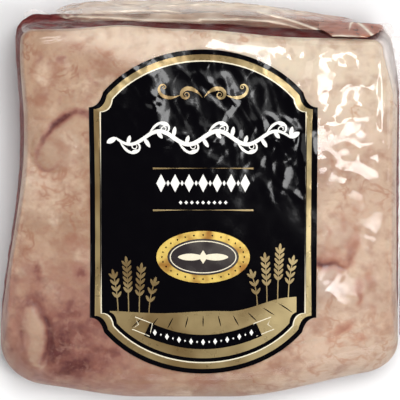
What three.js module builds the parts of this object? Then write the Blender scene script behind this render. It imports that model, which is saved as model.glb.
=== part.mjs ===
// A vacuum-packed chunk of raw beef striploin, lying on its lean side with the fat cap up.
// Millimetres, +Z up. +X runs along the muscle, +Y points to the thick back of the loin.
// The origin is on the surface that the pack lies on, under the middle of the chunk.

import * as THREE from 'three';
import { mergeVertices } from 'three/addons/utils/BufferGeometryUtils.js';
import { TessellateModifier } from 'three/addons/modifiers/TessellateModifier.js';

// Outline of the chunk at its widest height
const RIGHT_X = 104.3;
const RIGHT_TOP_TUCK = 5;
const LEFT_X = 94.4;
const LEFT_FLARE = 10.6;
const LEFT_TOP_FLARE = 2.1;
const BACK_Y = 96.5;
const BACK_RIGHT_DROP = 5.5;
const TAIL_Y = 105;
const TAIL_LEFT_RISE = 7;
const TAIL_RIGHT_RISE = 15;
const CORNERS = { tailLeft: 0.23, tailRight: 0.16, backLeft: 0.12, backRight: 0.1 };

// Heights of the fat side
const MID_HEIGHT = 55;
const BACK_SLOPE = 0.107;
const DOME = 7;
const DOME_LENGTH = 100;
const DOME_DEPTH = 96;
const EDGE_DROP = 1.4;
const EDGE_WIDTH = 2.4;
const RIM_SPAN = 98;

// How each wall runs from its foot over its widest height to its upper rim
const WIDEST = 0.4;
const WALLS = {
  left: { rim: 7, foot: 5, round: 0.8 },
  right: { rim: 6.5, foot: 5, round: 0.8 },
  back: { rim: 9.5, foot: 2, round: 0.25 },
  tail: { rim: 24, foot: 16, round: 1 },
};

// Fat layer
const FAT_DEPTH = 11;
const FAT_EDGE_CUT = 10;
const FAT_EDGE_BACK = 3;
const FAT_EDGE_TAIL = 34;
const GAP = 0.3;

// Loose film of the bag
const FILM_GAP = 0.4;
const TAIL_SWELL = 4.9;
const TAIL_LEAST = 0.6;
const TAIL_PLEAT = 0.6;
const TAIL_PLEATS = 3;
const TAIL_SPAN = [-0.78, 0.83];
const TAIL_RISE = [0.1, 0.84];
const FIN_ROOT = 1.8;
const FIN_TIP = 0.9;

// Printed plaque
const LABEL_X = 1.6;
const LABEL_Y = -6;
const LABEL_HALF_WIDTH = 58.6;
const LABEL_SHOULDER_Y = 54.6;
const LABEL_ARC_RX = 63;
const LABEL_ARC_RY = 52.3;
const LABEL_ARC_Y = 31.9;
const LABEL_ARC_END = 0.62;
const LABEL_LEDGE = 5.4;
const LABEL_RIM = 2.5;
const LABEL_BORDER = 3.1;
const WAVE_Y = 39;
const OVAL_Y = -22.7;
const HILLS_Y = -51.6;
const RIBBON_Y = -67.4;
const RIBBON_SAG = 6.8;
const RIBBON_HALF = 29;
const RIBBON_WIDTH = 7.6;
const SKIN = 0.5;
const LABEL_EDGE = 16;

// Steps of the meshes
const GRID = 32;
const LEAN_STEPS = 4;
const FAT_STEPS = 4;
const TAIL_STEPS = 30;
const TAIL_ROWS = 10;
const FIN_STEPS = 18;
const BEND_STEPS = 3;
const CORE_RINGS = [1, 0.88, 0.7, 0.5, 0.26, 0];

const COLOURS = {
  fat: '#cdb193',
  lean: '#6d3238',
  film: '#b9a79a',
  black: '#0b0a0d',
  gold: '#a88a55',
  cream: '#e9e1cf',
  grey: '#4a4a4c',
};

const { clamp, lerp } = THREE.MathUtils;

// Smooth step from 0 at a to 1 at b; a may be the larger of the two.
function ease(a, b, value) {
  const t = clamp((value - a) / (b - a), 0, 1);
  return t * t * (3 - 2 * t);
}

function bell(value, middle, width) {
  return Math.exp(-(((value - middle) / width) ** 2));
}

// The four sides of the outline, each as a function of the place along it, from -1 to 1.
function leftX(v) {
  return -(LEFT_X + LEFT_FLARE * ease(0.3, -0.75, v) + LEFT_TOP_FLARE * ease(0.45, 0.85, v));
}

function rightX(v) {
  return RIGHT_X - RIGHT_TOP_TUCK * ease(0.6, 1, v);
}

function tailY(u) {
  return -TAIL_Y + TAIL_LEFT_RISE * ease(-0.3, -0.9, u) + TAIL_RIGHT_RISE * ease(0.15, 1.05, u);
}

function backY(u) {
  return BACK_Y - BACK_RIGHT_DROP * ease(-0.1, 1.1, u);
}

// The rim of the back wall comes out at the left, where the fat runs over it, and falls back at the right.
function backRim(u) {
  return WALLS.back.rim - 2.5 * bell(u, -0.45, 0.2) + 1.8 * bell(u, 0.42, 0.28);
}

// The corners at the back are tighter towards the rim.
function cornerRadius(u, v, height) {
  if (v < 0) return u < 0 ? CORNERS.tailLeft : CORNERS.tailRight;
  const back = u < 0 ? CORNERS.backLeft : CORNERS.backRight;
  return back * lerp(1, 0.5, ease(0.7, 1, height));
}

// Rounds the corners of the square from -1 to 1.
function roundSquare(u, v, height) {
  const flat = 1 - cornerRadius(u, v, height);
  const cu = clamp(u, -flat, flat);
  const cv = clamp(v, -flat, flat);
  const du = u - cu;
  const dv = v - cv;
  const far = Math.max(Math.abs(du), Math.abs(dv));
  const long = Math.hypot(du, dv) || 1;
  return [cu + (du / long) * far, cv + (dv / long) * far];
}

// How far a wall stands in from its widest place at a height from 0, its foot, to 1, its rim.
function inset(wall, rim, height) {
  if (height < WIDEST) {
    const sin = (WIDEST - height) / WIDEST;
    return wall.foot * (1 - Math.sqrt(1 - sin * sin));
  }
  const sin = (height - WIDEST) / (1 - WIDEST);
  const curved = 1 - Math.sqrt(Math.max(0, 1 - sin * sin));
  return rim * lerp(sin, curved, wall.round);
}

// Plan position of a place on the outline or inside it, at a wall height, moved out by outset.
function plan(u, v, height = 1, outset = 0) {
  const [ru, rv] = roundSquare(u, v, height);
  const left = leftX(rv) + inset(WALLS.left, WALLS.left.rim, height) - outset;
  const right = rightX(rv) - inset(WALLS.right, WALLS.right.rim, height) + outset;
  const tail = tailY(ru) + inset(WALLS.tail, WALLS.tail.rim, height) - outset;
  const back = backY(ru) - inset(WALLS.back, backRim(ru), height) + outset;
  return [lerp(left, right, (ru + 1) / 2), lerp(tail, back, (rv + 1) / 2)];
}

// A smooth oval swelling of the fat, turned by an angle.
function lobe(x, y, { cx, cy, rx, ry, turn, height }) {
  const cos = Math.cos(turn);
  const sin = Math.sin(turn);
  const a = ((x - cx) * cos + (y - cy) * sin) / rx;
  const b = ((y - cy) * cos - (x - cx) * sin) / ry;
  const d = Math.hypot(a, b);
  return height * (ease(1.15, 0.55, d) - 0.35 * bell(d, 1.2, 0.16));
}

const LOBES = [
  { cx: -74, cy: 27, rx: 15, ry: 13, turn: 0.5, height: 0.9 },
  { cx: -85.5, cy: -71, rx: 6.5, ry: 18, turn: 0.16, height: 1.3 },
  { cx: 80, cy: -62, rx: 14, ry: 20, turn: -0.3, height: 0.55 },
];

// Low waves of the fat, and the stronger ones where the film puckers at the back right.
function waves(x, y) {
  const low = 0.5 * Math.sin(x / 13 + 1.2 * Math.sin(y / 21)) * Math.sin(y / 17 + 0.8);
  const pucker = Math.sin((x + y) / 6.5) * Math.sin((x - 1.4 * y) / 8.5);
  const corner = ease(50, 70, x) * ease(0, 30, y);
  return low + 0.7 * corner * pucker;
}

// Share of the relief at a place: the fat lies smooth under the label.
function besideLabel(x, y) {
  const across = ease(0, 14, Math.abs(x - LABEL_X) - LABEL_HALF_WIDTH);
  const above = ease(0, 10, Math.abs(y - LABEL_Y) - LABEL_ARC_Y - LABEL_ARC_RY);
  return Math.min(1, across + above);
}

// Height of the fat side over a plan position that lies rim millimetres inside the rim.
function fatTop(x, y, rim = 50) {
  const dome = DOME * (1 - (x / DOME_LENGTH) ** 2) * (1 - (y / DOME_DEPTH) ** 2);
  const lobes = LOBES.reduce((sum, one) => sum + lobe(x, y, one), 0);
  const relief = besideLabel(x, y) * (lobes + waves(x, y));
  return MID_HEIGHT + BACK_SLOPE * y + dome + relief - EDGE_DROP * Math.exp(-rim / EDGE_WIDTH);
}

// A place on the wall at a share of its height.
function wallPoint(u, v, height, outset = 0) {
  const [rimX, rimY] = plan(u, v);
  const [x, y] = plan(u, v, height, outset);
  return [x, y, height * fatTop(rimX, rimY, 0)];
}

// Depth of the fat's lower edge on the wall, which wraps far down round the tail.
function fatEdge(u, v) {
  const cut = lerp(FAT_EDGE_CUT, FAT_EDGE_TAIL, ease(-0.45, -0.95, v));
  return lerp(cut, FAT_EDGE_BACK, ease(0.8, 1, v));
}

function fatEdgeHeight(u, v) {
  return 1 - fatEdge(u, v) / fatTop(...plan(u, v), 0);
}

// Where the outline's corner square is met, going once round from the tail's left corner.
function perimeter(s) {
  const side = Math.floor(s) % 4;
  const t = -1 + 2 * (s - Math.floor(s));
  if (side === 0) return [t, -1];
  if (side === 1) return [1, t];
  if (side === 2) return [-t, 1];
  return [-1, -t];
}

const LOOP = Array.from({ length: 4 * GRID }, (_, i) => perimeter(i / GRID));

// Collects triangles and makes one closed geometry of them.
class Skin {
  constructor() {
    this.points = [];
  }

  triangle(a, b, c, inward) {
    this.points.push(...a, ...(inward ? c : b), ...(inward ? b : c));
  }

  quad(a, b, c, d, inward = false) {
    this.triangle(a, b, c, inward);
    this.triangle(a, c, d, inward);
  }

  // Bands between closed rings of points, each ring running the same way round.
  rings(rings, inward = false) {
    for (let k = 0; k + 1 < rings.length; k += 1) {
      const [low, high] = [rings[k], rings[k + 1]];
      low.forEach((point, i) => {
        const next = (i + 1) % low.length;
        this.quad(point, low[next], high[next], high[i], inward);
      });
    }
  }

  geometry() {
    return closed(this.points);
  }
}

function closed(points) {
  const loose = new THREE.BufferGeometry();
  loose.setAttribute('position', new THREE.Float32BufferAttribute(points, 3));
  const merged = mergeVertices(loose, 2e-3);
  const index = merged.getIndex().array;
  const kept = [];
  for (let i = 0; i < index.length; i += 3) {
    const [a, b, c] = [index[i], index[i + 1], index[i + 2]];
    if (a !== b && b !== c && c !== a) kept.push(a, b, c);
  }
  merged.setIndex(kept);
  merged.computeVertexNormals();
  return merged;
}

function piece(name, geometry, colour, roughness = 0.35, metalness = 0) {
  const material = new THREE.MeshStandardMaterial({ color: colour, roughness, metalness });
  const mesh = new THREE.Mesh(geometry, material);
  mesh.name = name;
  return mesh;
}

// The face between lean and fat, as rings from the wall to the middle, lowered by drop.
function corePoint(u, v, share, drop) {
  const [edgeX, edgeY, edgeZ] = wallPoint(u, v, fatEdgeHeight(u, v));
  const x = edgeX * share;
  const y = edgeY * share;
  const under = fatTop(x, y) - FAT_DEPTH;
  return [x, y, lerp(under, edgeZ, ease(0.4, 1, share)) - drop];
}

function coreRings(drop) {
  return CORE_RINGS.map((share) => LOOP.map(([u, v]) => corePoint(u, v, share, drop)));
}

function wallRing(height) {
  return LOOP.map(([u, v]) => wallPoint(u, v, height(u, v)));
}

function lean() {
  const middle = LOOP.map(() => [0, 0, 0]);
  const walls = [];
  for (let k = 0; k < LEAN_STEPS; k += 1) {
    walls.push(wallRing((u, v) => (k / LEAN_STEPS) * fatEdgeHeight(u, v)));
  }
  const skin = new Skin();
  skin.rings([middle, ...walls, ...coreRings(GAP)]);
  return skin.geometry();
}

function fatCap() {
  const walls = [];
  for (let k = 1; k <= FAT_STEPS; k += 1) {
    const turn = Math.sin((k / FAT_STEPS) * (Math.PI / 2));
    walls.push(wallRing((u, v) => lerp(fatEdgeHeight(u, v), 1, turn)));
  }
  const core = coreRings(0);
  const skin = new Skin();
  skin.rings(core, true);
  skin.rings([core[0], ...walls]);
  const top = (i, j) => {
    const [u, v] = [-1 + (2 * i) / GRID, -1 + (2 * j) / GRID];
    const [x, y] = plan(u, v);
    const rim = RIM_SPAN * (1 - Math.max(Math.abs(u), Math.abs(v)));
    return [x, y, fatTop(x, y, rim)];
  };
  for (let i = 0; i < GRID; i += 1) {
    for (let j = 0; j < GRID; j += 1) {
      skin.quad(top(i, j), top(i + 1, j), top(i + 1, j + 1), top(i, j + 1));
    }
  }
  return skin.geometry();
}

// A ring shrunk to its middle, which closes the end of a row of rings.
function shrunk(ring) {
  const middle = [0, 1, 2].map((k) => ring.reduce((sum, p) => sum + p[k], 0) / ring.length);
  return ring.map(() => middle);
}

// The folded end of the bag, pressed against the back wall in long pleats.
function filmTail() {
  const thick = (a, b) => {
    const ends = (ease(-0.02, 0.16, a) * ease(1.01, 0.45, a)) ** 0.5;
    const rise = Math.sin(Math.PI * (0.03 + 0.94 * b)) ** 0.5 * ease(1, 0.9, b) ** 0.5;
    const pleat = Math.sin(2 * Math.PI * (TAIL_PLEATS * b + 0.5 * a)) * TAIL_PLEAT;
    return TAIL_LEAST + ends * rise * (TAIL_SWELL + pleat);
  };
  const point = (a, b, outside) => {
    const u = lerp(TAIL_SPAN[0], TAIL_SPAN[1], a);
    const low = TAIL_RISE[0] + 0.3 * (1 - Math.sin(Math.PI * lerp(0.02, 0.98, a)) ** 0.5);
    const top = lerp(0.6, TAIL_RISE[1], ease(0, 0.1, a)) - 0.1 * a * a;
    return wallPoint(u, 1, lerp(low, top, b), FILM_GAP + (outside ? thick(a, b) : 0));
  };
  const rings = [];
  for (let i = 0; i <= TAIL_STEPS; i += 1) {
    const ring = [];
    for (let j = 0; j <= TAIL_ROWS; j += 1) ring.push(point(i / TAIL_STEPS, j / TAIL_ROWS, true));
    for (let j = TAIL_ROWS; j >= 0; j -= 1) ring.push(point(i / TAIL_STEPS, j / TAIL_ROWS, false));
    rings.push(ring);
  }
  const skin = new Skin();
  skin.rings([shrunk(rings[0]), ...rings, shrunk(rings[TAIL_STEPS])]);
  return skin.geometry();
}

// A thin wavy fin of film that stands out from the wall, from one place of the loop to another.
function filmFin({ from, to, height, rise, width, wave }) {
  const station = (t) => {
    const [u, v] = perimeter(lerp(from, to, t));
    const level = height + rise * t + wave * Math.sin(9 * t);
    const out = FILM_GAP + width * Math.sin(Math.PI * t) ** 0.7 * (0.85 + 0.15 * Math.sin(17 * t));
    const root = wallPoint(u, v, level, FILM_GAP);
    const tip = wallPoint(u, v, level + wave * Math.cos(13 * t), out);
    return { root, tip };
  };
  const lift = ([x, y, z], d) => [x, y, z + d];
  const rings = [];
  for (let k = 1; k < FIN_STEPS; k += 1) {
    const { root, tip } = station(k / FIN_STEPS);
    rings.push([
      lift(root, FIN_ROOT / 2),
      lift(tip, FIN_TIP / 2),
      lift(tip, -FIN_TIP / 2),
      lift(root, -FIN_ROOT / 2),
    ]);
  }
  const start = station(0).root;
  const end = station(1).root;
  const skin = new Skin();
  skin.rings([rings[0].map(() => start), ...rings, rings[0].map(() => end)]);
  return skin.geometry();
}

const FINS = {
  film_ear_left: { from: 2.9, to: 2.98, height: 0.5, rise: 0, width: 3, wave: 0.01 },
  film_ear_right: { from: 1.8, to: 2.08, height: 0.6, rise: 0.05, width: 5.4, wave: 0.012 },
  film_seam_right: { from: 1.1, to: 1.36, height: 0.42, rise: 0.04, width: 3.6, wave: 0.02 },
};

// A curve from the path's last point to an end, which leaves and arrives towards a middle point.
function bendTo(path, middle, end) {
  const curve = new THREE.QuadraticBezierCurve(path.currentPoint.clone(), middle, end);
  for (const point of curve.getPoints(BEND_STEPS).slice(1)) path.lineTo(point.x, point.y);
}

// Outline of the plaque, moved in by a distance: arched above and below, with hollow shoulders.
function plaque(path, d = 0) {
  const rx = LABEL_ARC_RX - d;
  const ry = LABEL_ARC_RY - d;
  const side = LABEL_HALF_WIDTH - d;
  const shoulder = LABEL_SHOULDER_Y - 0.4 * d;
  const end = LABEL_ARC_END;
  const [arcX, arcY] = [rx * Math.cos(end), LABEL_ARC_Y + ry * Math.sin(end)];
  const corner = (x, y) => new THREE.Vector2(x, y);
  path.moveTo(side, -shoulder);
  path.lineTo(side, shoulder);
  bendTo(path, corner(side - LABEL_LEDGE, shoulder), corner(arcX, arcY));
  path.absellipse(0, LABEL_ARC_Y, rx, ry, end, Math.PI - end, false);
  bendTo(path, corner(LABEL_LEDGE - side, shoulder), corner(-side, shoulder));
  path.lineTo(-side, -shoulder);
  bendTo(path, corner(LABEL_LEDGE - side, -shoulder), corner(-arcX, -arcY));
  path.absellipse(0, -LABEL_ARC_Y, rx, ry, Math.PI + end, 2 * Math.PI - end, false);
  bendTo(path, corner(side - LABEL_LEDGE, -shoulder), corner(side, -shoulder));
  return path;
}

// A flat shape of the print, bent over the fat side as one thin solid on a numbered layer.
function printed(shape, layer, curveSegments = 10) {
  const flat = new THREE.ExtrudeGeometry(shape, { depth: SKIN, bevelEnabled: false, curveSegments });
  flat.deleteAttribute('normal');
  flat.deleteAttribute('uv');
  const fine = new TessellateModifier(LABEL_EDGE, 12).modify(flat);
  const position = fine.getAttribute('position');
  const points = [];
  for (let i = 0; i < position.count; i += 1) {
    const x = position.getX(i) + LABEL_X;
    const y = position.getY(i) + LABEL_Y;
    const lift = GAP + layer * (SKIN + GAP);
    points.push(x, y, fatTop(x, y) + lift + position.getZ(i));
  }
  return closed(points);
}

function ringShape(outer, inner) {
  outer.holes.push(inner);
  return outer;
}

function border() {
  const outer = plaque(new THREE.Shape(), LABEL_RIM);
  const inner = plaque(new THREE.Path(), LABEL_RIM + LABEL_BORDER);
  return ringShape(outer, inner);
}

function oval(path, rx, ry) {
  path.absellipse(0, OVAL_Y, rx, ry, 0, 2 * Math.PI, false);
  return path;
}

// A band of even width along a middle line given as a function of the place from 0 to 1.
function band(line, width, steps) {
  const left = [];
  const right = [];
  for (let k = 0; k <= steps; k += 1) {
    const t = k / steps;
    const here = line(t);
    const ahead = line(Math.min(1, t + 0.5 / steps));
    const behind = line(Math.max(0, t - 0.5 / steps));
    const along = new THREE.Vector2().subVectors(ahead, behind).normalize();
    const half = width(t) / 2;
    const off = new THREE.Vector2(-along.y * half, along.x * half);
    left.push(here.clone().add(off));
    right.push(here.clone().sub(off));
  }
  return new THREE.Shape([...right, ...left.reverse()]);
}

// Gold scrollwork at the top: one swelling wave.
function flourish() {
  const half = 22;
  const line = (t) => {
    const x = lerp(-half, half, t);
    return new THREE.Vector2(x, 62 + 3.2 * Math.sin((x / half) * 1.5 * Math.PI));
  };
  return band(line, (t) => 0.7 + 1.4 * Math.sin(Math.PI * t) ** 2, 30);
}

// White running wave across the upper half.
function runningWave() {
  const half = 49;
  const line = (t) => {
    const x = lerp(-half, half, t);
    const swell = 7 * Math.cos((x / half) * 1.1);
    return new THREE.Vector2(x, WAVE_Y + swell * Math.sin((x / half) * 3.25 * Math.PI));
  };
  return band(line, () => 2.4, 60);
}

function rule(y) {
  const half = 25.8;
  return band((t) => new THREE.Vector2(lerp(-half, half, t), y), () => 0.9, 6);
}

// A row of lozenges on one thin rule.
function lozenges({ y, count, pitch, height, waist }) {
  const first = -((count - 1) / 2) * pitch;
  const upper = [new THREE.Vector2(first - pitch / 2, y + waist / 2)];
  for (let k = 0; k < count; k += 1) {
    const x = first + k * pitch;
    upper.push(new THREE.Vector2(x - pitch * 0.36, y + waist / 2));
    upper.push(new THREE.Vector2(x, y + height / 2));
    upper.push(new THREE.Vector2(x + pitch * 0.36, y + waist / 2));
  }
  upper.push(new THREE.Vector2(-first + pitch / 2, y + waist / 2));
  const lower = upper.map((p) => new THREE.Vector2(p.x, 2 * y - p.y));
  return new THREE.Shape([...lower, ...upper.reverse()]);
}

// Oval medallion: a gold ring around a grey field.
function medallionRing() {
  return ringShape(oval(new THREE.Shape(), 24.1, 13.6), oval(new THREE.Path(), 18.4, 9.5));
}

function medallionField() {
  return oval(new THREE.Shape(), 18.1, 9.2);
}

// Rolling ground that fills the plaque's foot and rises at the right.
function hills() {
  const edge = plaque(new THREE.Path(), LABEL_RIM + LABEL_BORDER + 2.6).getPoints(8);
  const foot = edge.filter((point) => point.y < HILLS_Y);
  const steps = 16;
  const top = [];
  for (let k = 0; k <= steps; k += 1) {
    const x = lerp(foot[foot.length - 1].x, foot[0].x, k / steps);
    const y = HILLS_Y + 0.6 * Math.sin(x / 9 + 0.9) + 8 * ease(12, 44, x);
    top.push(new THREE.Vector2(x, y));
  }
  return new THREE.Shape([...foot, ...top]);
}

// A curved ribbon over the hills.
function ribbon() {
  const line = (t) => {
    const x = lerp(-RIBBON_HALF, RIBBON_HALF, t);
    return new THREE.Vector2(x, RIBBON_Y + RIBBON_SAG * (x / RIBBON_HALF) ** 2);
  };
  return band(line, () => RIBBON_WIDTH, 24);
}

const LOZENGE_ROW = { y: 15.6, count: 7, pitch: 7.2, height: 9.4, waist: 0.8 };
const BEAD_ROW = { y: 5.6, count: 9, pitch: 2.9, height: 2, waist: 0.6 };

// Name, flat shape, layer over the fat and colour of each field of the print.
const PRINT = [
  ['label_plaque', plaque(new THREE.Shape()), 0, COLOURS.black],
  ['label_border', border(), 1, COLOURS.gold],
  ['label_flourish', flourish(), 1, COLOURS.gold],
  ['label_wave', runningWave(), 1, COLOURS.cream],
  ['label_rule_upper', rule(23.2), 1, COLOURS.gold],
  ['label_lozenges', lozenges(LOZENGE_ROW), 1, COLOURS.cream],
  ['label_beads', lozenges(BEAD_ROW), 1, COLOURS.cream],
  ['label_rule_lower', rule(1.6), 1, COLOURS.gold],
  ['label_oval', medallionRing(), 1, COLOURS.gold],
  ['label_oval_field', medallionField(), 1, COLOURS.grey],
  ['label_hills', hills(), 1, COLOURS.gold],
  ['label_ribbon', ribbon(), 2, COLOURS.black],
];

const striploin = new THREE.Group();
striploin.add(piece('lean', lean(), COLOURS.lean, 0.45));
striploin.add(piece('fat_cap', fatCap(), COLOURS.fat, 0.4));
striploin.add(piece('film_tail', filmTail(), COLOURS.film, 0.25));
for (const [name, sizes] of Object.entries(FINS)) {
  striploin.add(piece(name, filmFin(sizes), COLOURS.film, 0.25));
}
for (const [name, shape, layer, colour] of PRINT) {
  const metal = colour === COLOURS.gold ? 0.5 : 0;
  striploin.add(piece(name, printed(shape, layer), colour, 0.3, metal));
}

// The chunk's outline isn't even, so the group is shifted to put the origin under its middle.
const middle = new THREE.Box3().setFromObject(striploin).getCenter(new THREE.Vector3());
striploin.position.set(-middle.x, -middle.y, 0);

export default striploin;
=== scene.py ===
"""A vacuum-packed chunk of raw beef striploin: fat cap, lean, clear shrink bag and printed plaque.

Lengths are in millimetres in the chunk's own plan, as in the solids. mesh_piece() moves them to the
frame's origin and turns them into metres.
"""
import math

import bpy
import numpy as np
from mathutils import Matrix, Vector
from mathutils.geometry import delaunay_2d_cdt


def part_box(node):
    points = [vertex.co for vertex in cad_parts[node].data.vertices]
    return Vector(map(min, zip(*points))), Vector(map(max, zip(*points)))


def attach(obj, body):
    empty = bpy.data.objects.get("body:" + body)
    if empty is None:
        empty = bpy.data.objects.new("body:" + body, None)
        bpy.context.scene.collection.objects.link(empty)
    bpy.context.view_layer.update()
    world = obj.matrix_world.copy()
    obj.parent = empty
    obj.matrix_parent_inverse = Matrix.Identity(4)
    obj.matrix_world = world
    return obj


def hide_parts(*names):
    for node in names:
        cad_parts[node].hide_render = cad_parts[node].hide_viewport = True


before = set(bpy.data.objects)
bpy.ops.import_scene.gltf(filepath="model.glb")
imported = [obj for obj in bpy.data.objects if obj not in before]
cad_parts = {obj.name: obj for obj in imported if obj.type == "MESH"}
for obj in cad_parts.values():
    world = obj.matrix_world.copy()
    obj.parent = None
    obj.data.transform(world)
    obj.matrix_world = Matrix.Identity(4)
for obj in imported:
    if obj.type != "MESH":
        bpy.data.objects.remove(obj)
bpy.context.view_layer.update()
MM = 0.001

# Outline of the chunk at its widest height: the back is at the photo's top, the tail at its bottom
RIGHT_X, RIGHT_TOP_TUCK = 104.3, 5
LEFT_X, LEFT_FLARE, LEFT_TOP_FLARE = 94.4, 10.6, 2.1
BACK_Y, BACK_RIGHT_DROP = 96.5, 5.5
TAIL_Y, TAIL_LEFT_RISE, TAIL_RIGHT_RISE = 105, 7, 15
CORNER_TAIL_LEFT, CORNER_TAIL_RIGHT, CORNER_BACK_LEFT, CORNER_BACK_RIGHT = 0.23, 0.16, 0.12, 0.1

# Heights of the fat side
MID_HEIGHT, BACK_SLOPE = 55, 0.107
DOME, DOME_LENGTH, DOME_DEPTH = 7, 100, 96
EDGE_DROP, EDGE_WIDTH, HALF_SPAN = 1.4, 2.4, 98

# Walls: how far the rim and the foot stand in from the widest height, and how round the wall is
WIDEST = 0.4
WALLS = {"left": (7, 5, 0.8), "right": (6.5, 5, 0.8), "back": (9.5, 2, 0.25), "tail": (24, 16, 1)}

# Fat layer, and how far the lean stays off it and off the outer face
FAT_DEPTH, FAT_EDGE_CUT, FAT_EDGE_LEFT, FAT_EDGE_BACK, FAT_EDGE_TAIL = 11, 10, 5.5, 3, 34
GAP, LEAN_INSET = 0.3, 0.15
CORE_RINGS = (0.97, 0.88, 0.7, 0.5, 0.26)

# Printed plaque
LABEL_X, LABEL_Y = 1.6, -6
LABEL_HALF_WIDTH, LABEL_SHOULDER_Y = 58.6, 54.6
LABEL_ARC_RX, LABEL_ARC_RY, LABEL_ARC_Y, LABEL_ARC_END = 63, 52.3, 31.9, 0.62
LABEL_LEDGE, LABEL_RIM, LABEL_BORDER = 5.4, 2.5, 3.1
RIBBON_Y, RIBBON_SAG, RIBBON_HALF, RIBBON_WIDTH = -67.4, 6.8, 29, 7.6
VINE_Y, RULE_UPPER_Y, LOZENGES_Y, BEADS_Y, RULE_LOWER_Y, HILLS_Y = 39, 23.2, 15.6, 5.6, 1.6, -51.6
RULE_HALF, RULE_WIDTH = 25.8, 0.9
OVAL_Y, OVAL_OUTER, OVAL_INNER = -22.7, (24.1, 13.6), (18.4, 9.5)
PRINT_GAP, PRINT_SKIN, PRINT_STEP = 0.04, 0.05, 0.09

# Film of the bag: how far it stands off, and the folded end and the tuck at the back
FILM_OUT, FILM_SLACK, FILM_LIFT, FLOOR_CLEAR = 0.35, 0.15, 0.35, 0.1
OUTLINE_LENGTH = 800  # once round the chunk
FILM_GAP, TUCK_GAP = 0.4, 1.6
FOLD_SPAN, FOLD_LOW, FOLD_HIGH = (-0.78, 0.83), 0.1, 0.84
FOLD_SWELL, FOLD_LEAST, FOLD_PLEAT, FOLD_PLEATS = 4.9, 0.6, 0.6, 3
FOLD_LINE_HEIGHT, THINNEST = 1.2, 0.03
TUCK_SPAN, TUCK_LOW = (0.6, 0.96), 0.6

# Steps of the meshes, across and down
FILM_GRID, FAT_GRID, LEAN_GRID = 210, 160, 120
FILM_RINGS, FAT_RINGS, LEAN_RINGS = 36, 18, 24
FOLD_STEPS, TUCK_STEPS = (300, 90), (120, 50)

plaque_low, plaque_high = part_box("label_plaque")
SHIFT_X = (plaque_low[0] + plaque_high[0]) / 2 / MM - LABEL_X
SHIFT_Y = (plaque_low[1] + plaque_high[1]) / 2 / MM - LABEL_Y


def ease(a, b, value):
    t = np.clip((value - a) / (b - a), 0, 1)
    return t * t * (3 - 2 * t)


def bell(value, middle, width):
    return np.exp(-(((value - middle) / width) ** 2))


def window(value, start, full, last, end):
    """1 from full to last, easing off to 0 at start and at end."""
    return ease(start, full, value) * ease(end, last, value)


def mix(a, b, t):
    return a + (b - a) * t


def oval_distance(x, y, cx, cy, rx, ry, turn=0.0):
    """Distance from the middle of a turned oval, 1 on its edge."""
    a = ((x - cx) * math.cos(turn) + (y - cy) * math.sin(turn)) / rx
    b = ((y - cy) * math.cos(turn) - (x - cx) * math.sin(turn)) / ry
    return np.hypot(a, b)


def spot(x, y, *oval):
    """1 in the middle of an oval, falling off to each side over its half sizes."""
    return bell(oval_distance(x, y, *oval), 0, 1)


# The chunk's outline and walls

def left_x(v):
    return -(LEFT_X + LEFT_FLARE * ease(0.3, -0.75, v) + LEFT_TOP_FLARE * ease(0.45, 0.85, v))


def right_x(v):
    return RIGHT_X - RIGHT_TOP_TUCK * ease(0.6, 1, v)


def tail_y(u):
    return -TAIL_Y + TAIL_LEFT_RISE * ease(-0.3, -0.9, u) + TAIL_RIGHT_RISE * ease(0.15, 1.05, u)


def back_y(u):
    return BACK_Y - BACK_RIGHT_DROP * ease(-0.1, 1.1, u)


def round_square(u, v, height):
    """Rounds the corners of the square from -1 to 1, the back ones less towards the rim."""
    tail = np.where(u < 0, CORNER_TAIL_LEFT, CORNER_TAIL_RIGHT)
    back = np.where(u < 0, CORNER_BACK_LEFT, CORNER_BACK_RIGHT) * mix(1, 0.5, ease(0.7, 1, height))
    flat = 1 - np.where(v < 0, tail, back)
    cu, cv = np.clip(u, -flat, flat), np.clip(v, -flat, flat)
    du, dv = u - cu, v - cv
    far = np.maximum(np.abs(du), np.abs(dv))
    long = np.maximum(np.hypot(du, dv), 1e-12)
    return cu + du / long * far, cv + dv / long * far


def inset(side, height, rim=None):
    """How far a wall stands in from its widest place at a height from 0 to 1."""
    wall_rim, foot, curve = WALLS[side]
    rim = wall_rim if rim is None else rim
    low = np.clip((WIDEST - height) / WIDEST, 0, 1)
    high = np.clip((height - WIDEST) / (1 - WIDEST), 0, 1)
    under = foot * (1 - np.sqrt(1 - low * low))
    over = rim * mix(high, 1 - np.sqrt(np.maximum(0, 1 - high * high)), curve)
    return np.where(height < WIDEST, under, over)


def plan(u, v, height=1.0, outset=0.0):
    """Plan position of a place on the outline or inside it, at a wall height."""
    u, v = np.asarray(u, float), np.asarray(v, float)
    height = np.asarray(height, float)
    ru, rv = round_square(u, v, height)
    left = left_x(rv) + inset("left", height) - outset
    right = right_x(rv) - inset("right", height) + outset
    tail = tail_y(ru) + inset("tail", height) - outset
    back_rim = WALLS["back"][0] - 2.5 * bell(ru, -0.45, 0.2) + 1.8 * bell(ru, 0.42, 0.28)
    back = back_y(ru) - inset("back", height, back_rim) + outset
    return mix(left, right, (ru + 1) / 2), mix(tail, back, (rv + 1) / 2)


def random_waves(x, y, longest, shortest, count, seed):
    """Sum of plane waves in random directions, about 1 at its peaks."""
    draw = np.random.default_rng(seed)
    total = np.zeros(np.broadcast(x, y).shape)
    for _ in range(count):
        turn = draw.uniform(0, 2 * math.pi)
        k = 2 * math.pi / draw.uniform(shortest, longest)
        phase = draw.uniform(0, 2 * math.pi)
        total += np.sin(k * (x * math.cos(turn) + y * math.sin(turn)) + phase)
    return total / math.sqrt(count * 2)


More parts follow.
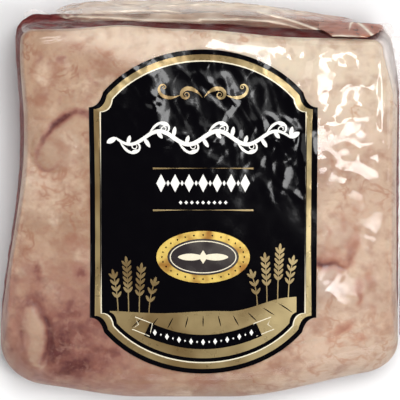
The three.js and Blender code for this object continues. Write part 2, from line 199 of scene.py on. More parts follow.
def near_line(x, y, points, width):
    """1 on a line through points of (x, y, share), falling off over width, times the share there."""
    best = np.zeros(np.broadcast(x, y).shape)
    for (ax, ay, a_share), (bx, by, b_share) in zip(points, points[1:]):
        dx, dy = bx - ax, by - ay
        t = np.clip(((x - ax) * dx + (y - ay) * dy) / (dx * dx + dy * dy), 0, 1)
        d = np.hypot(x - ax - t * dx, y - ay - t * dy)
        best = np.maximum(best, mix(a_share, b_share, t) * bell(d, 0, width))
    return best


def facets(x, y, size, tilt, seed, stretch=1.0, turn=0.0, soft=0.06):
    """Puckered film: shallow tilted bowls that meet in ridges, each about size across."""
    a = (x * math.cos(turn) + y * math.sin(turn)) / stretch / size
    b = (y * math.cos(turn) - x * math.sin(turn)) / size
    table = np.random.default_rng(seed).random((61, 61, 4))
    ca, cb = np.floor(a).astype(int), np.floor(b).astype(int)
    total = np.zeros(np.broadcast(x, y).shape)
    for i in (-1, 0, 1):
        for j in (-1, 0, 1):
            cell = table[(ca + i) % 61, (cb + j) % 61]
            da = a - (ca + i + 0.15 + 0.7 * cell[..., 0])
            db = b - (cb + j + 0.15 + 0.7 * cell[..., 1])
            slope = (2 * cell[..., 2] - 1) * da + (2 * cell[..., 3] - 1) * db
            bowl = slope + 1.1 * (da * da + db * db)
            total += np.exp(-bowl / soft)
    return -np.log(total) * soft * size * tilt


def pleats(x, y, period, turn, seed):
    """Long folds side by side, with sharp crests and slopes of about 1 to either side."""
    across = x * math.cos(turn) + y * math.sin(turn)
    across = across / period + 0.45 * random_waves(x, y, 5 * period, 2 * period, 12, seed)
    return period * np.hypot(across - np.floor(across) - 0.5, 0.05)


# The fat side

# Lobes: the oval of each, as place, half sizes and turn, and its height
LOBES = {
    "oval": ((-74, 27, 15, 13, 0.5), 0.9),
    "low_left": ((-85.5, -71, 6.5, 18, 0.16), 1.3),
    "low_right": ((80, -62, 14, 20, -0.3), 0.55),
}

# Creases: places in the plan with their strength there
CREASES = {
    "oval": [
        (-55, 44, 0.65), (-60, 46, 0.75), (-64, 46.3, 0.85), (-69.5, 43.6, 1.05), (-75.4, 38.8, 1),
        (-80, 32.5, 0.75), (-83.6, 26.5, 0.65), (-84.3, 20.5, 0.6), (-81.5, 16.2, 0.65), (-78, 15.6, 0.6),
        (-74, 18, 0.45), (-68.4, 22.5, 0.2),
    ],
    "low_left": [
        (-87.5, -52, 0.3), (-84.2, -54, 0.4), (-80.5, -61, 0.7), (-77, -69.5, 1), (-78.5, -76, 1),
        (-81, -83, 0.8),
    ],
    "low_left_side": [(-88.5, -53, 0.3), (-91.5, -61, 0.4), (-91.5, -70, 0.3), (-89, -78, 0.2)],
    "pucker": [
        (57, -31.5, 0.6), (64, -33.5, 0.95), (70, -32.5, 0.75), (75.5, -35.5, 0.6), (78.5, -28, 0.4),
        (80.5, -19, 0.15),
    ],
}


def lobe(x, y, oval, height):
    d = oval_distance(x, y, *oval)
    return height * (ease(1.15, 0.55, d) - 0.35 * bell(d, 1.2, 0.16))


def waves(x, y):
    low = 0.5 * np.sin(x / 13 + 1.2 * np.sin(y / 21)) * np.sin(y / 17 + 0.8)
    pucker = np.sin((x + y) / 6.5) * np.sin((x - 1.4 * y) / 8.5)
    corner = ease(50, 70, x) * ease(0, 30, y)
    return low + 0.7 * corner * pucker


def beside_label(x, y):
    across = ease(0, 14, np.abs(x - LABEL_X) - LABEL_HALF_WIDTH)
    above = ease(0, 10, np.abs(y - LABEL_Y) - LABEL_ARC_Y - LABEL_ARC_RY)
    return np.minimum(1, across + above)


def rim_distance(u, v):
    """Distance of a plan place from the rim, in millimetres."""
    return HALF_SPAN * (1 - np.maximum(np.abs(u), np.abs(v)))


def loose_area(x, y):
    """1 where the film is loose, in the back right corner, and 0 elsewhere."""
    x = x + 3 * random_waves(x, y, 40, 18, 12, 13)
    y = y + 3 * random_waves(x, y, 40, 18, 12, 14)
    return window(x, 50, 61, 90, 103) * window(y, -14, 24, 80, 97)


def taut_strip(x, y):
    """1 in the narrow strip by the right edge where the film is drawn flat, and 0 elsewhere."""
    return window(x, 91, 92.8, 95.6, 97.4) * window(y, 24, 31, 71, 77)


def swells(x, y):
    """Large soft folds of the loose film, which the fat below follows in part."""
    bent_x = x + 3 * np.sin(y / 9)
    bent_y = y + 3 * np.sin(x / 8 + 1)
    return 0.7 * random_waves(bent_x, bent_y, 24, 11, 16, 15)


def fat_top(x, y, rim=50.0):
    """Height of the fat side over a plan position that lies rim millimetres inside the rim."""
    dome = DOME * (1 - (x / DOME_LENGTH) ** 2) * (1 - (y / DOME_DEPTH) ** 2)
    lobes = sum(lobe(x, y, *sizes) for sizes in LOBES.values())
    lumps = 0.22 * random_waves(x, y, 17, 7, 26, 5)
    creases = sum(near_line(x, y, points, 2.2) for points in CREASES.values())
    relief = beside_label(x, y) * (lobes + waves(x, y) + lumps - 1.1 * creases)
    relief = (relief + 0.25 * loose_area(x, y) * swells(x, y)) * (1 - taut_strip(x, y))
    return MID_HEIGHT + BACK_SLOPE * y + dome + relief - EDGE_DROP * np.exp(-rim / EDGE_WIDTH)


# Blushes of the fat: place in the plan, half sizes, turn and strength
BLUSHES = [
    (-76, -80, 5, 6, 0, 0.9), (-64, -87, 13, 4, 0.25, 0.95), (-50, -80, 14, 4, 0.3, 0.5),
    (-71, -71, 4, 9, 0.2, 0.8), (-66, -58, 3, 5, 0.4, 0.4), (-66, -76, 15, 13, 0.2, 0.2),
    (-62, -37, 2.5, 4, 0, 0.5), (-84, -36, 2, 6, 0.3, 0.45), (-58, -66, 9, 5, 0.2, 0.5),
    (-72, 51, 2.6, 2.2, 0.6, 0.45), (-70.5, 73, 3, 2.2, 0.6, 0.55), (-48, 71.5, 3.5, 2, 0.2, 0.4),
    (-82, 73, 2.5, 3, 0, 0.4), (-55, 62.5, 4.5, 1.8, -0.8, 0.4), (-79, 56, 3, 4, 0.2, 0.4),
    (-63, 66, 2, 3, 0, 0.3), (68, -30, 10, 6, 0, 0.8), (82, -48, 3, 9, 0.1, 0.85),
    (75, -66, 8, 4.5, 0.5, 0.9), (84, -72, 5, 3.5, 0.2, 0.75), (67, -75, 3, 5, 0, 0.6),
    (84, 36, 2, 7, 0.3, 0.5), (73, -10, 2.4, 7, 0.1, 0.7), (84, 6, 3, 6, 0.3, 0.6),
    (66, -16, 3, 7, 0.2, 0.6), (80, -20, 4, 8, 0, 0.7), (88, -38, 3, 7, 0.2, 0.6),
    (66, 22, 2, 6, 0.2, 0.5), (76, 30, 5, 3, 0.4, 0.6), (68, 44, 3, 4, 0, 0.5), (87, 28, 2.5, 5, 0, 0.5),
    (90, -57, 3, 6, 0, 0.5), (40, -90, 9, 3, -0.3, 0.35), (8, -94, 10, 3, 0.1, 0.35),
]


def painted_light(x, y):
    """How pale the fat is at a place: at the right, and most of all along the back. This is painted light:
    the fat is made paler where the light falls, on the right and along the back, with brighter spots at
    the left and at the lower right.
    """
    pale = 0.27 * ease(0, 70, x) + 0.3 * ease(10, 60, y) * ease(-20, 60, x)
    pale = pale + 0.1 * ease(-50, -80, y) * ease(20, 70, x)
    pale = pale + 0.3 * spot(x, y, -84, 12, 16, 24)
    back = ease(59, 77, y - 10 * ease(-22, -58, x))
    return pale + 0.5 * back * window(x, -86, -56, 30, 80)


def redness_and_painted_shade(x, y):
    """How red the fat is at a place: blushes and creases, weaker where it is pale, and a red line along
    the left part of the back rim. Towards the lower left it is darker as painted shade, the creases are
    partly painted shade, and the painted light of the right and back takes red away.
    """
    # painted shade darkens the lower left; the painted light where the fat is lit takes red away
    total = 0.5 * ease(5, -60, y) * ease(20, -60, x) - 0.7 * painted_light(x, y)
    bent_x = x + 1.6 * random_waves(x, y, 12, 5, 16, 71)
    bent_y = y + 1.6 * random_waves(x, y, 12, 5, 16, 72)
    for *oval, strength in BLUSHES:
        total = total + strength * spot(bent_x, bent_y, *oval)
    in_lobe = ease(1.05, 0.9, oval_distance(x, y, *LOBES["low_left"][0]))
    total = total * mix(1, 0.28, in_lobe) + 0.05 * in_lobe
    line_x, line_y = mix(x, bent_x, 0.3), mix(y, bent_y, 0.3)
    # creases darker along their lines: partly the fat's own red, partly painted shade in the crease
    for points in CREASES.values():
        total = total + 0.95 * near_line(line_x, line_y, points, 1.8) ** 3
        total = total + 0.75 * near_line(line_x, line_y, points, 2.8)
    return total + 0.35 * bell(bent_y, 86, 1) * window(x, -84, -78, -60, -25)


def smoothness_and_painted_light(x, y):
    """Above 0 where the fat is smooth and even, in the two lobes at the left; below 0 where it is pale
    from painted light.
    """
    low = ease(1.1, 0.9, oval_distance(x, y, *LOBES["low_left"][0]))
    high = 0.5 * ease(1, 0.7, oval_distance(x, y, *LOBES["oval"][0]))
    return np.maximum(low, high) - painted_light(x, y)


def loose_folds(x, y):
    """Film that stands off the fat beside the label: the puckered area, blisters and a few glints."""
    right = window(x, 56, 64, 94, 101)
    rough = 0.5 * swells(x, y) + 0.16 * random_waves(x, y, 11, 6, 18, 12)
    folds = loose_area(x, y) * (2.4 - 0.06 * (x - 62) + rough * (1 - taut_strip(x, y)))
    blister = 1.7 * spot(x, y, 64, -49, 12, 9.5) * (1 + 0.12 * swells(2 * x, 2 * y))
    blister = blister + 0.8 * spot(x, y, 84, -26, 8, 8)
    blister = blister + 0.5 * spot(x, y, 87, -11, 9, 14) * (1 + swells(x, y))
    crinkles = 0.4 + 0.45 * pleats(x, y, 3.4, 1.9, 29)
    crinkled = spot(x, y, -80, 82, 9, 5) * ease(0, 3, 87.5 - y) * crinkles
    return folds + right * blister + crinkled + 0.4 * spot(x, y, -85.8, 12.9, 1.8, 1.8)


def label_crinkles(x, y):
    """Crinkles of the film over the label's upper half, and a streak down its left part."""
    on_label = ease(60, 52, np.abs(x - LABEL_X)) * ease(88, 78, np.abs(y - LABEL_Y))
    first = ease(0.1, 0.75, random_waves(x, y, 46, 20, 14, 23)) * ease(-30, 25, x)
    second = ease(0.1, 0.75, random_waves(x, y, 40, 18, 14, 25))
    crinkle = 0.13 * first * pleats(x, y, 11, 0.3, 21) + 0.1 * second * pleats(x, y, 7, 0.85, 22)
    crinkle = crinkle + 0.1 * facets(x, y, 5, 0.8, 24, 2, 1.2)
    crinkle = crinkle + 0.13 * bell(pleats(x, y, 9, 0.5, 26), 0, 0.8)
    crinkle = crinkle + 0.1 * first * bell(pleats(x, y, 7, 2.2, 27), 0, 0.7)
    streak = 1.1 * bell(x + 22 + 0.13 * (y - 41), 0, 5) * window(y, 22, 42, 64, 74)
    return on_label * (ease(4, 42, y + 0.4 * x) * crinkle + streak)


def film_lift(x, y):
    """How far the film stands off the fat."""
    held = np.maximum(loose_area(x, y), ease(62, 58.5, x - LABEL_X))
    tent = 1.3 * held * ease(22, 64, x) * ease(-60, -10, y) * ease(88, 78, y - LABEL_Y)
    ridge = 1.7 * bell(y, 78.6 - 0.03 * x + 0.9 * np.sin(x / 5), 8.5)
    ridge = ridge * window(x, -8, 4, 80, 96) * (1 - 0.8 * bell(x, 40, 9))
    tension = 0.05 * random_waves(x, y, 30, 8, 18, 31)
    return FILM_LIFT + loose_folds(x, y) + label_crinkles(x, y) + tent + ridge + tension


def film_top(x, y, rim=50.0):
    fade = ease(0, 2.5, rim)
    bridge = taut_strip(x, y) * (EDGE_DROP * np.exp(-rim / EDGE_WIDTH) + 0.05 * (x - 93))
    return fat_top(x, y, rim) + mix(FILM_LIFT, film_lift(x, y), fade) + bridge


# Meshes

class Shell:
    """Points and faces of one closed mesh, in millimetres in the chunk's plan."""

    def __init__(self):
        self.points, self.shades, self.calms, self.faces, self.count = [], [], [], [], 0

    def add(self, x, y, z, shade=0.0, calm=0.0):
        """Adds points and gives their numbers; the material reads shade and calm at each."""
        x, y, z, shade, calm = np.broadcast_arrays(x, y, z, shade, calm)
        index = self.count + np.arange(x.size).reshape(x.shape)
        self.points.append(np.stack([x.ravel(), y.ravel(), z.ravel()], 1))
        self.shades.append(shade.ravel())
        self.calms.append(calm.ravel())
        self.count += x.size
        return index

    def quads(self, a, b, c, d):
        self.faces.append(np.stack([np.ravel(i) for i in (a, b, c, d)], 1))

    def sheet(self, index):
        self.quads(index[:-1, :-1], index[1:, :-1], index[1:, 1:], index[:-1, 1:])

    def band(self, low, high, inward=False):
        after_low, after_high = np.roll(low, -1), np.roll(high, -1)
        if inward:
            self.quads(low, high, after_high, after_low)
        else:
            self.quads(low, after_low, after_high, high)

    def fan(self, ring, place, inward=False, shade=0.0):
        """Closes a ring with triangles round a new point."""
        centre = int(self.add(*place, shade))
        after = np.roll(ring, -1)
        first, second = (after, ring) if inward else (ring, after)
        self.faces.append(np.stack([first, second, np.full(ring.size, centre)], 1))


def rim_of(index):
    """The outer indices of a sheet, once round."""
    return np.concatenate([index[:-1, 0], index[-1, :-1], index[:0:-1, -1], index[0, :0:-1]])


def square_grid(n):
    """Places on the outline's square, n steps each way."""
    steps = np.linspace(-1, 1, n + 1)
    return np.meshgrid(steps, steps, indexing="ij")


def mesh_piece(name, points, faces, material, sharp=math.radians(50)):
    """One piece of the pack from points in millimetres; it rides on the root body."""
    points = (np.asarray(points) + (SHIFT_X, SHIFT_Y, 0)) * MM
    mesh = bpy.data.meshes.new(name)
    mesh.from_pydata(points.tolist(), [], faces)
    mesh.polygons.foreach_set("use_smooth", np.ones(len(mesh.polygons), bool))
    mesh.set_sharp_from_angle(angle=sharp)
    mesh.materials.append(material)
    piece = bpy.data.objects.new(name, mesh)
    bpy.context.scene.collection.objects.link(piece)
    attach(piece, "root")
    return piece


def shell_piece(name, shell, material):
    faces = [row for block in shell.faces for row in block.tolist()]
    piece = mesh_piece(name, np.concatenate(shell.points), faces, material, math.radians(80))
    for key, blocks in (("shade", shell.shades), ("calm", shell.calms)):
        values = np.concatenate(blocks).astype(np.float32)
        if values.any():
            piece.data.attributes.new(key, "FLOAT", "POINT").data.foreach_set("value", values)
    return piece


def loop_uv(n):
    """Places once round the outline's square, n steps to a side."""
    u, v = square_grid(n)
    return rim_of(u), rim_of(v)


def fat_edge_height(u, v):
    """Height of the fat's lower edge on the wall, as a share of the wall."""
    cut = mix(FAT_EDGE_CUT, FAT_EDGE_TAIL, ease(-0.45, -0.95, v))
    cut = mix(cut, FAT_EDGE_LEFT, ease(-0.9, -1, u) * window(v, 0.05, 0.4, 0.8, 1))
    depth = mix(cut, FAT_EDGE_BACK, ease(0.8, 1, v))
    depth = depth + (0.15 + 0.95 * ease(1, 0.9, v)) * np.sin(9 * u + 2) * np.sin(7 * v + 1)
    return 1 - depth / fat_top(*plan(u, v), 0)


def wall_point(u, v, height, outset=0.0, top=fat_top, lift=0.0):
    """A place on the wall at a height from 0 to 1, or outset from it."""
    x, y = plan(u, v, height, outset)
    return x, y, height * (top(*plan(u, v, 1, outset), 0) - lift) + lift


def core(shell, u, v, edge_ring, drop, inward):
    """The face between lean and fat, from the wall to the middle, lowered by drop."""
    edge_x, edge_y, edge_z = wall_point(u, v, fat_edge_height(u, v))
    low = edge_ring
    for share in CORE_RINGS:
        x, y = edge_x * share, edge_y * share
        under = fat_top(x, y) - FAT_DEPTH
        ring = shell.add(x, y, mix(under, edge_z, ease(0.4, 1, share)) - drop)
        shell.band(low, ring, inward)
        low = ring
    shell.fan(low, (0, 0, fat_top(0, 0) - FAT_DEPTH - drop), inward)


def fat_shell():
    """The fat cap, from its top down the walls to its lower edge and in under it."""
    shell = Shell()
    u, v = square_grid(FAT_GRID)
    x, y = plan(u, v)
    top = shell.add(x, y, fat_top(x, y, rim_distance(u, v)), redness_and_painted_shade(x, y), smoothness_and_painted_light(x, y))
    shell.sheet(top)
    high = rim_of(top)
    u, v = loop_uv(FAT_GRID)
    edge = fat_edge_height(u, v)
    for share in np.sin(np.linspace(math.pi / 2, 0, FAT_RINGS + 1)[1:]):
        x, y, z = wall_point(u, v, mix(edge, 1, share))
        ring = shell.add(x, y, z, redness_and_painted_shade(x, y), smoothness_and_painted_light(x, y))
        shell.band(ring, high)
        high = ring
    core(shell, u, v, high, 0, True)
    return shell


def lean_shell():
    """The lean under the fat cap; its shade is the dark upper part next to the fat, painted shade under
    the fat's edge and at the top of the left wall.
    """
    shell = Shell()
    u, v = loop_uv(LEAN_GRID)
    edge = fat_edge_height(u, v)
    low = None
    for share in np.linspace(0, 1, LEAN_RINGS + 1):
        x, y, z = wall_point(u, v, share * edge, -LEAN_INSET, lift=FLOOR_CLEAR * 2)
        grain = 0.25 * random_waves(x + y, z * 1.5, 16, 5, 20, 41) * math.sin(math.pi * share)
        out = 1 + grain / 100
        # painted shade along the top of the back wall under the fat, and at the top of the left wall
        painted_shade_under_fat = ease(0.6, 0.8, share) * ease(0.9, 1, v) * mix(0.2, 1, ease(-0.7, -0.1, u))
        painted_shade_under_fat = painted_shade_under_fat * ease(1, 0.8, u) + 0.5 * ease(0.7, 0.9, share) * ease(-0.9, -1, u)
        ring = shell.add(x * out, y * out, z - GAP * share, np.minimum(1, painted_shade_under_fat))
        if low is None:
            first = ring
        else:
            shell.band(low, ring)
        low = ring
    shell.fan(first, (0, 0, FLOOR_CLEAR * 2), True)
    core(shell, u, v, low, GAP, False)
    return shell


def top_gloss(x, y):
    """Where the film's upper side shines: right of the middle, and at a few places at the left."""
    gloss = mix(0.06, 1, ease(-12, 4, x) * ease(-6, 14, y))
    shiny = (spot(x, y, 67, -47, 12, 12), spot(x, y, -85.8, 12.9, 4, 4))
    dull = (0.8 * spot(x, y, 89, -14, 5, 9), 0.6 * spot(x, y, -80, 82, 10, 6))
    return np.maximum.reduce((gloss, *shiny, *dull))


def wall_haze_and_sheen(u, v, around, height):
    """Where the film is milky down the walls: at the corners, and in patches along the back. The milky
    veil is partly the film's own haze and partly painted sheen, a lilac shine over the lean.
    """
    lowest = mix(0.65, 0.25, ease(0.6, 0.85, v))
    milky = 0.55 * ease(0.9, 1, u) * ease(0.4, 0.95, v) * ease(lowest, lowest + 0.3, height)
    patches = 0.12 + 0.12 * random_waves(around, height * 60, 24, 6, 18, 54) + 0.12 * ease(-0.1, -0.7, u)
    milky = np.maximum(milky, np.where(v == 1, patches, 0) * ease(0.6, 0.8, height))
    return milky + 0.22 * ease(0.9, 1, abs(u)) * ease(-1, -0.5, v) * ease(0.5, 0.8, height)


def film_shell():
    """The tight film all round, puckered where it stands off the meat."""
    shell = Shell()
    u, v = square_grid(FILM_GRID)
    x, y = plan(u, v, 1, FILM_OUT)
    # milky patch over the lower right blister: painted highlight over the film's haze; the back right
    # corner is milky film
    milky = 0.3 * spot(x, y, 67, -44, 9, 6.923) + 0.4 * ease(86, 97, x) * ease(50, 78, y)
    top = shell.add(x, y, film_top(x, y, rim_distance(u, v)), top_gloss(x, y), milky)
    shell.sheet(top)
    high = rim_of(top)
    u, v = loop_uv(FILM_GRID)
    around = np.arange(u.size) * (OUTLINE_LENGTH / u.size)
    for height in 1 - np.linspace(0, 1, FILM_RINGS + 1)[1:] ** 1.15:
        fade = math.sin(math.pi * height) ** 0.5
        tight = 0.2 * random_waves(around, height * 60, 14, 4, 24, 51)
        upright = 0.22 * np.maximum(0, random_waves(around, height * 9, 11, 5, 20, 52))
        out = FILM_OUT + FILM_SLACK + fade * (tight + upright)
        sheen = ease(-0.1, 1, random_waves(around, height * 40, 40, 12, 16, 53))
        gloss = np.where(v == 1, 0.05, 0.16 + 0.7 * sheen)
        place = wall_point(u, v, height, out, film_top, FLOOR_CLEAR)
        ring = shell.add(*place, gloss, wall_haze_and_sheen(u, v, around, height))
        shell.band(ring, high)
        high = ring
    shell.fan(high, (0, 0, FLOOR_CLEAR), True, 0.4)
    return shell


# Loose film

def rings_shell(rings, shades, calms):
    """A closed mesh through a row of rings of points, with its two ends shrunk to points."""
    shell = Shell()
    first = last = None
    for ring, shade, calm in zip(rings, shades, calms):
        index = shell.add(*ring.T, shade, calm)
        if last is None:
            first = index
        else:
            shell.band(last, index)
        last = index
    shell.fan(first, rings[0].mean(0), True)
    shell.fan(last, rings[-1].mean(0))
    return shell


# Fold lines of the bag's end and of the tuck: places in the plan, with how far the film stands up there
FOLD_LINES = [
    [(-77, 90.5, 0.6), (-73, 93, 1), (-66, 95, 1), (-50, 94.6, 0.9), (-28, 93.2, 1), (0, 93, 0.7)],
    [(-54, 97.5, 0.4), (-35, 98.3, 1), (-18, 98.2, 1), (-10, 97, 0.5)],
    [(0, 93.5, 0.6), (20, 93.6, 1), (36, 92.6, 0.8), (46, 90.5, 0.7), (65, 84.5, 0.5)],
    [(30, 97.5, 0.7), (46, 93.5, 1), (60, 88.5, 1), (68, 85, 0.8)],
    [(-30, 100.5, 0.5), (5, 101.6, 0.8), (36, 100.5, 0.5)],
]
TUCK_LINES = [
    [(76.5, 88, 0.1), (78, 91.5, 0.5), (80.5, 93.4, 0.9), (85, 89, 0.8), (90.5, 83, 0.8)],
    [(64, 84.8, 0.4), (73, 84.8, 0.8), (82, 84.2, 0.8), (88, 82.8, 0.5)],
]
# Line in the plan between the clear part next to the fat and the tan folds
CLEAR_BELOW = [
    (-77, 90.5), (-68, 95), (-52, 94.5), (-28, 93), (0, 93), (25, 93.5), (46, 90.8), (67, 84.5),
]


def folded_haze(x, y, z):
    """Clear next to the fat, then tan in long streaks, and milky at the outer edge."""
    line = np.interp(x, *np.transpose(CLEAR_BELOW))
    streaks = random_waves(x / 9, y + 0.8 * z, 5, 1.8, 24, 63) + 0.6 * ease(0, 60, x)
    crinkles = facets(x, y, 3.2, 0.4, 65) * ease(72, 78, x) * ease(92, 88, y)
    over = mix(0.35, 1, ease(-0.4, 0.6, y - line))
    milky = ease(97, 101, y + 0.001 * x * x * np.sign(x))
    thick = mix(0.2, 1, ease(15, 33, z))
    pocket = 0.55 * spot(x, y, 78, 87, 15, 9)
    return over * thick * (0.34 + 0.24 * streaks + 0.36 * milky) + pocket - 0.35 * crinkles


def brown_and_painted_shade(x, y):
    """How brown the folded film is: at the right, and most of all in the pocket at its end, where the
    brown is darkened as painted shade.
    """
    return np.minimum(1, 0.75 * ease(0, 60, x) * ease(101, 94, y) + spot(x, y, 78, 87, 12, 5))


def fold_thickness(a, b):
    """Thickness of the folded end along the back wall, a, and up it, b."""
    ends = window(a, -0.02, 0.16, 0.45, 1.01) ** 0.5
    rise = np.sin(math.pi * (0.03 + 0.94 * b)) ** 0.5
    swing = np.sin(2 * math.pi * (FOLD_PLEATS * b + 0.5 * a)) * FOLD_PLEAT
    along, up = a * 150, b * 46
    sharp = 0.4 * (pleats(along, up, 8, 1.45, 61) - 2) + 0.2 * (pleats(along, up, 5, 1.7, 62) - 1.2)
    least = FOLD_LEAST * window(a, 0, 0.06, 0.95, 1) * ease(1, 0.85, b)
    return least + ends * rise * ease(1, 0.9, b) ** 0.5 * (FOLD_SWELL + swing + sharp)


def fold_low(a):
    """Height of the folded end's lower edge: rounded up at both ends, and wavy."""
    rounding = 1 - math.sin(math.pi * mix(0.02, 0.98, a)) ** 0.5
    return FOLD_LOW + 0.3 * rounding + 0.02 * math.sin(23 * a)


def fold_top(a):
    return mix(0.6, FOLD_HIGH, ease(0, 0.1, a)) - 0.1 * a * a + 0.012 * math.sin(31 * a)


def tuck_thickness(a, b):
    """Thickness of the tuck at the back right corner, over the folded end's last part."""
    body = math.sin(math.pi * a) ** 0.5 * np.sin(math.pi * (0.02 + 0.96 * b)) ** 0.4
    return 0.1 + body * (0.9 + 0.25 * random_waves(a * 50, b * 20, 14, 5, 20, 64))


def tuck_low(a):
    return TUCK_LOW


def tuck_top(a):
    return mix(0.84, 1, ease(0, 0.3, a)) - 0.2 * ease(0.82, 1, a)


def film_pad_shell(span, low, top, thickness, gap, lines, steps, rows):
    """Folded film pressed against the back wall: a closed sheet with fold lines standing on it."""
    under = FILM_OUT + FILM_GAP + gap
    b = np.linspace(0, 1, rows)
    rings, hazes, browns_and_shades = [], [], []
    for a in np.linspace(0, 1, steps):
        height = mix(low(a), top(a), b)
        u = np.full(rows, mix(span[0], span[1], a))
        v = np.ones(rows)
        out = under + THINNEST + thickness(a, b)
        x, y, z = wall_point(u, v, height, out)
        stand = sum(near_line(x, y, line, 0.4) + 0.3 * near_line(x, y, line, 1.4) for line in lines)
        outer = np.stack([x, y, z + FOLD_LINE_HEIGHT * stand], 1)
        inner = np.stack(wall_point(u, v, height, under), 1)
        rings.append(np.concatenate([outer, inner[::-1]]))
        ends = window(a, 0, 0.03, 0.9, 1) * ease(0, 0.2, b)
        # fold lines hazier and whiter: partly the thicker film of a fold, partly painted highlight along
        # them
        haze = np.clip(ends * folded_haze(x, y, z) + 0.55 * stand, 0, 1)
        hazes.append(np.concatenate([haze, 0.3 * haze[::-1]]))
        brown_and_shade = brown_and_painted_shade(x, y) * np.clip(1 - stand, 0.1, 1)
        browns_and_shades.append(np.concatenate([brown_and_shade, brown_and_shade[::-1]]))
    return rings_shell(rings, hazes, browns_and_shades)


def perimeter(s):
    """Place on the outline's square, going once round in four sides."""
    side = int(s) % 4
    t = -1 + 2 * (s - int(s))
    return ((t, -1), (1, t), (-t, 1), (-1, -t))[side]


def film_fin_shell(start, end, height, rise, width, wave, steps=90, rows=8):
    """A thin wavy fin of film that stands out from the wall."""
    rings = []
    for t in np.linspace(0.01, 0.99, steps):
        u, v = perimeter(mix(start, end, t))
        level = height + rise * t + wave * math.sin(9 * t)
        reach = width * math.sin(math.pi * t) ** 0.7 * (0.85 + 0.15 * math.sin(17 * t))
        out = np.linspace(0, 1, rows)
        curl = wave * math.cos(13 * t) * out + 0.004 * np.sin(40 * t + 5 * out)
        x, y, z = wall_point(u, v, level + curl, FILM_GAP + FILM_OUT + reach * out)
        half = mix(0.3, 0.1, out)
        upper = np.stack([x, y, z + half], 1)
        lower = np.stack([x, y, z - half], 1)
        rings.append(np.concatenate([upper, lower[::-1]]))
    return rings_shell(rings, [0.3] * steps, [0.3] * steps)


# Fins: start and end on the outline, height and rise as shares of the wall, width and waviness
FINS = {
    "film_ear_left": dict(start=2.9, end=2.98, height=0.5, rise=0, width=3, wave=0.01),
    "film_ear_right": dict(start=1.8, end=2.08, height=0.6, rise=0.05, width=5.4, wave=0.012),
    "film_seam_right": dict(start=1.1, end=1.36, height=0.42, rise=0.04, width=3.6, wave=0.02),
}


# Flat shapes of the print: lists of closed outlines, holes running the other way round

def arc(y, rx, ry, start, end, steps):
    """Part of an oval whose middle is on the label's middle line."""
    turn = np.linspace(start, end, steps)
    return np.stack([rx * np.cos(turn), y + ry * np.sin(turn)], 1)


def bend(start, middle, end, steps=10):
    """A curve from start to end that leaves and arrives towards the middle point."""
    t = np.linspace(0, 1, steps)[:, None]
    return (1 - t) ** 2 * np.array(start) + 2 * t * (1 - t) * np.array(middle) + t * t * np.array(end)


def plaque(d=0.0):
    """Outline of the plaque, moved in by a distance: arched above and below, with hollow shoulders."""
    rx, ry, side = LABEL_ARC_RX - d, LABEL_ARC_RY - d, LABEL_HALF_WIDTH - d
    shoulder, end = LABEL_SHOULDER_Y - 0.4 * d, LABEL_ARC_END
    upper = arc(LABEL_ARC_Y, rx, ry, end, math.pi - end, 80)
    right = bend((side, shoulder), (side - LABEL_LEDGE, shoulder), upper[0])[:-1]
    left = (right * (-1, 1))[::-1]
    half = np.concatenate([right, upper, left])
    return np.concatenate([half, -half])


def reverse(outline):
    return outline[::-1]


def anticlockwise(outline):
    x, y = outline.T
    area = np.sum(x * np.roll(y, -1) - y * np.roll(x, -1))
    return outline if area > 0 else reverse(outline)


def oval(rx, ry):
    return arc(OVAL_Y, rx, ry, 0, 2 * math.pi, 97)[:-1]


def sideways(line):
    """Unit vectors to the left of a line of points."""
    along = np.gradient(line, axis=0)
    along /= np.maximum(np.linalg.norm(along, axis=1, keepdims=True), 1e-9)
    return np.stack([-along[:, 1], along[:, 0]], 1)


def stroke(line, width):
    """A band of varying width along a middle line of points."""
    off = sideways(line) * np.broadcast_to(width, len(line))[:, None] / 2
    return anticlockwise(np.concatenate([line - off, (line + off)[::-1]]))


def outlined(outline, width):
    """The edge of an outline, as a line of even width."""
    closed = np.concatenate([outline, outline[:2]])
    inner = closed[1:-1]
    return [inner - sideways(closed)[1:-1] * width, reverse(inner)]


def scroll(start, heading, length, bends, steps):
    """A line whose bend runs through the given values, in turns for its whole length."""
    t = np.linspace(0, 1, steps)
    curl = np.interp(t, np.linspace(0, 1, len(bends)), bends) * 2 * math.pi
    turn = heading + np.concatenate([[0], np.cumsum((curl[1:] + curl[:-1]) / 2)]) / (steps - 1)
    pace = np.stack([np.cos(turn[:-1]), np.sin(turn[:-1])], 1) * (length / (steps - 1))
    return start + np.concatenate([[(0, 0)], np.cumsum(pace, 0)])


def mirrored(outlines):
    return outlines + [reverse(outline * (-1, 1)) for outline in outlines]


def leaf(x, y, length, width, turn):
    """A pointed oval that starts at a place and points along a turn."""
    t = np.linspace(0, math.pi, 14)
    along = length * (1 - np.cos(t)) / 2
    side = width / 2 * np.sin(t) ** 1.3
    outline = np.concatenate([np.stack([along, -side], 1), np.stack([along, side], 1)[-2:0:-1]])
    spin = np.array([[math.cos(turn), math.sin(turn)], [-math.sin(turn), math.cos(turn)]])
    return anticlockwise(outline @ spin + (x, y))


def lozenge(x, y, width, height):
    return np.array([[x + width / 2, y], [x, y + height / 2], [x - width / 2, y], [x, y - height / 2]])


def swell(steps, least, most, power=1.0):
    return least + (most - least) * np.sin(np.linspace(0, math.pi, steps)) ** power


def taper(steps, least, most, peak):
    """Widths that rise to most at a share of the way and fall to least at both ends."""
    t = np.linspace(0, 1, steps)
    return least + (most - least) * np.where(t < peak, ease(0, peak, t), ease(1, peak, t))


def flourish():
    """Gold scrollwork: on each side an arch that curls in and a longer scroll beyond it."""
    arch = scroll((-0.5, 59.7), 2.2, 25, (0.25, 0.45, 1.5, 2.3, 5), 110)
    tail = scroll((-11.7, 60.9), 3.55, 22.5, (-0.1, -0.45, -0.8, -2, -6.4), 110)
    return mirrored([stroke(arch, taper(110, 0.3, 2.1, 0.3)), stroke(tail, taper(110, 0.3, 1.7, 0.3))])


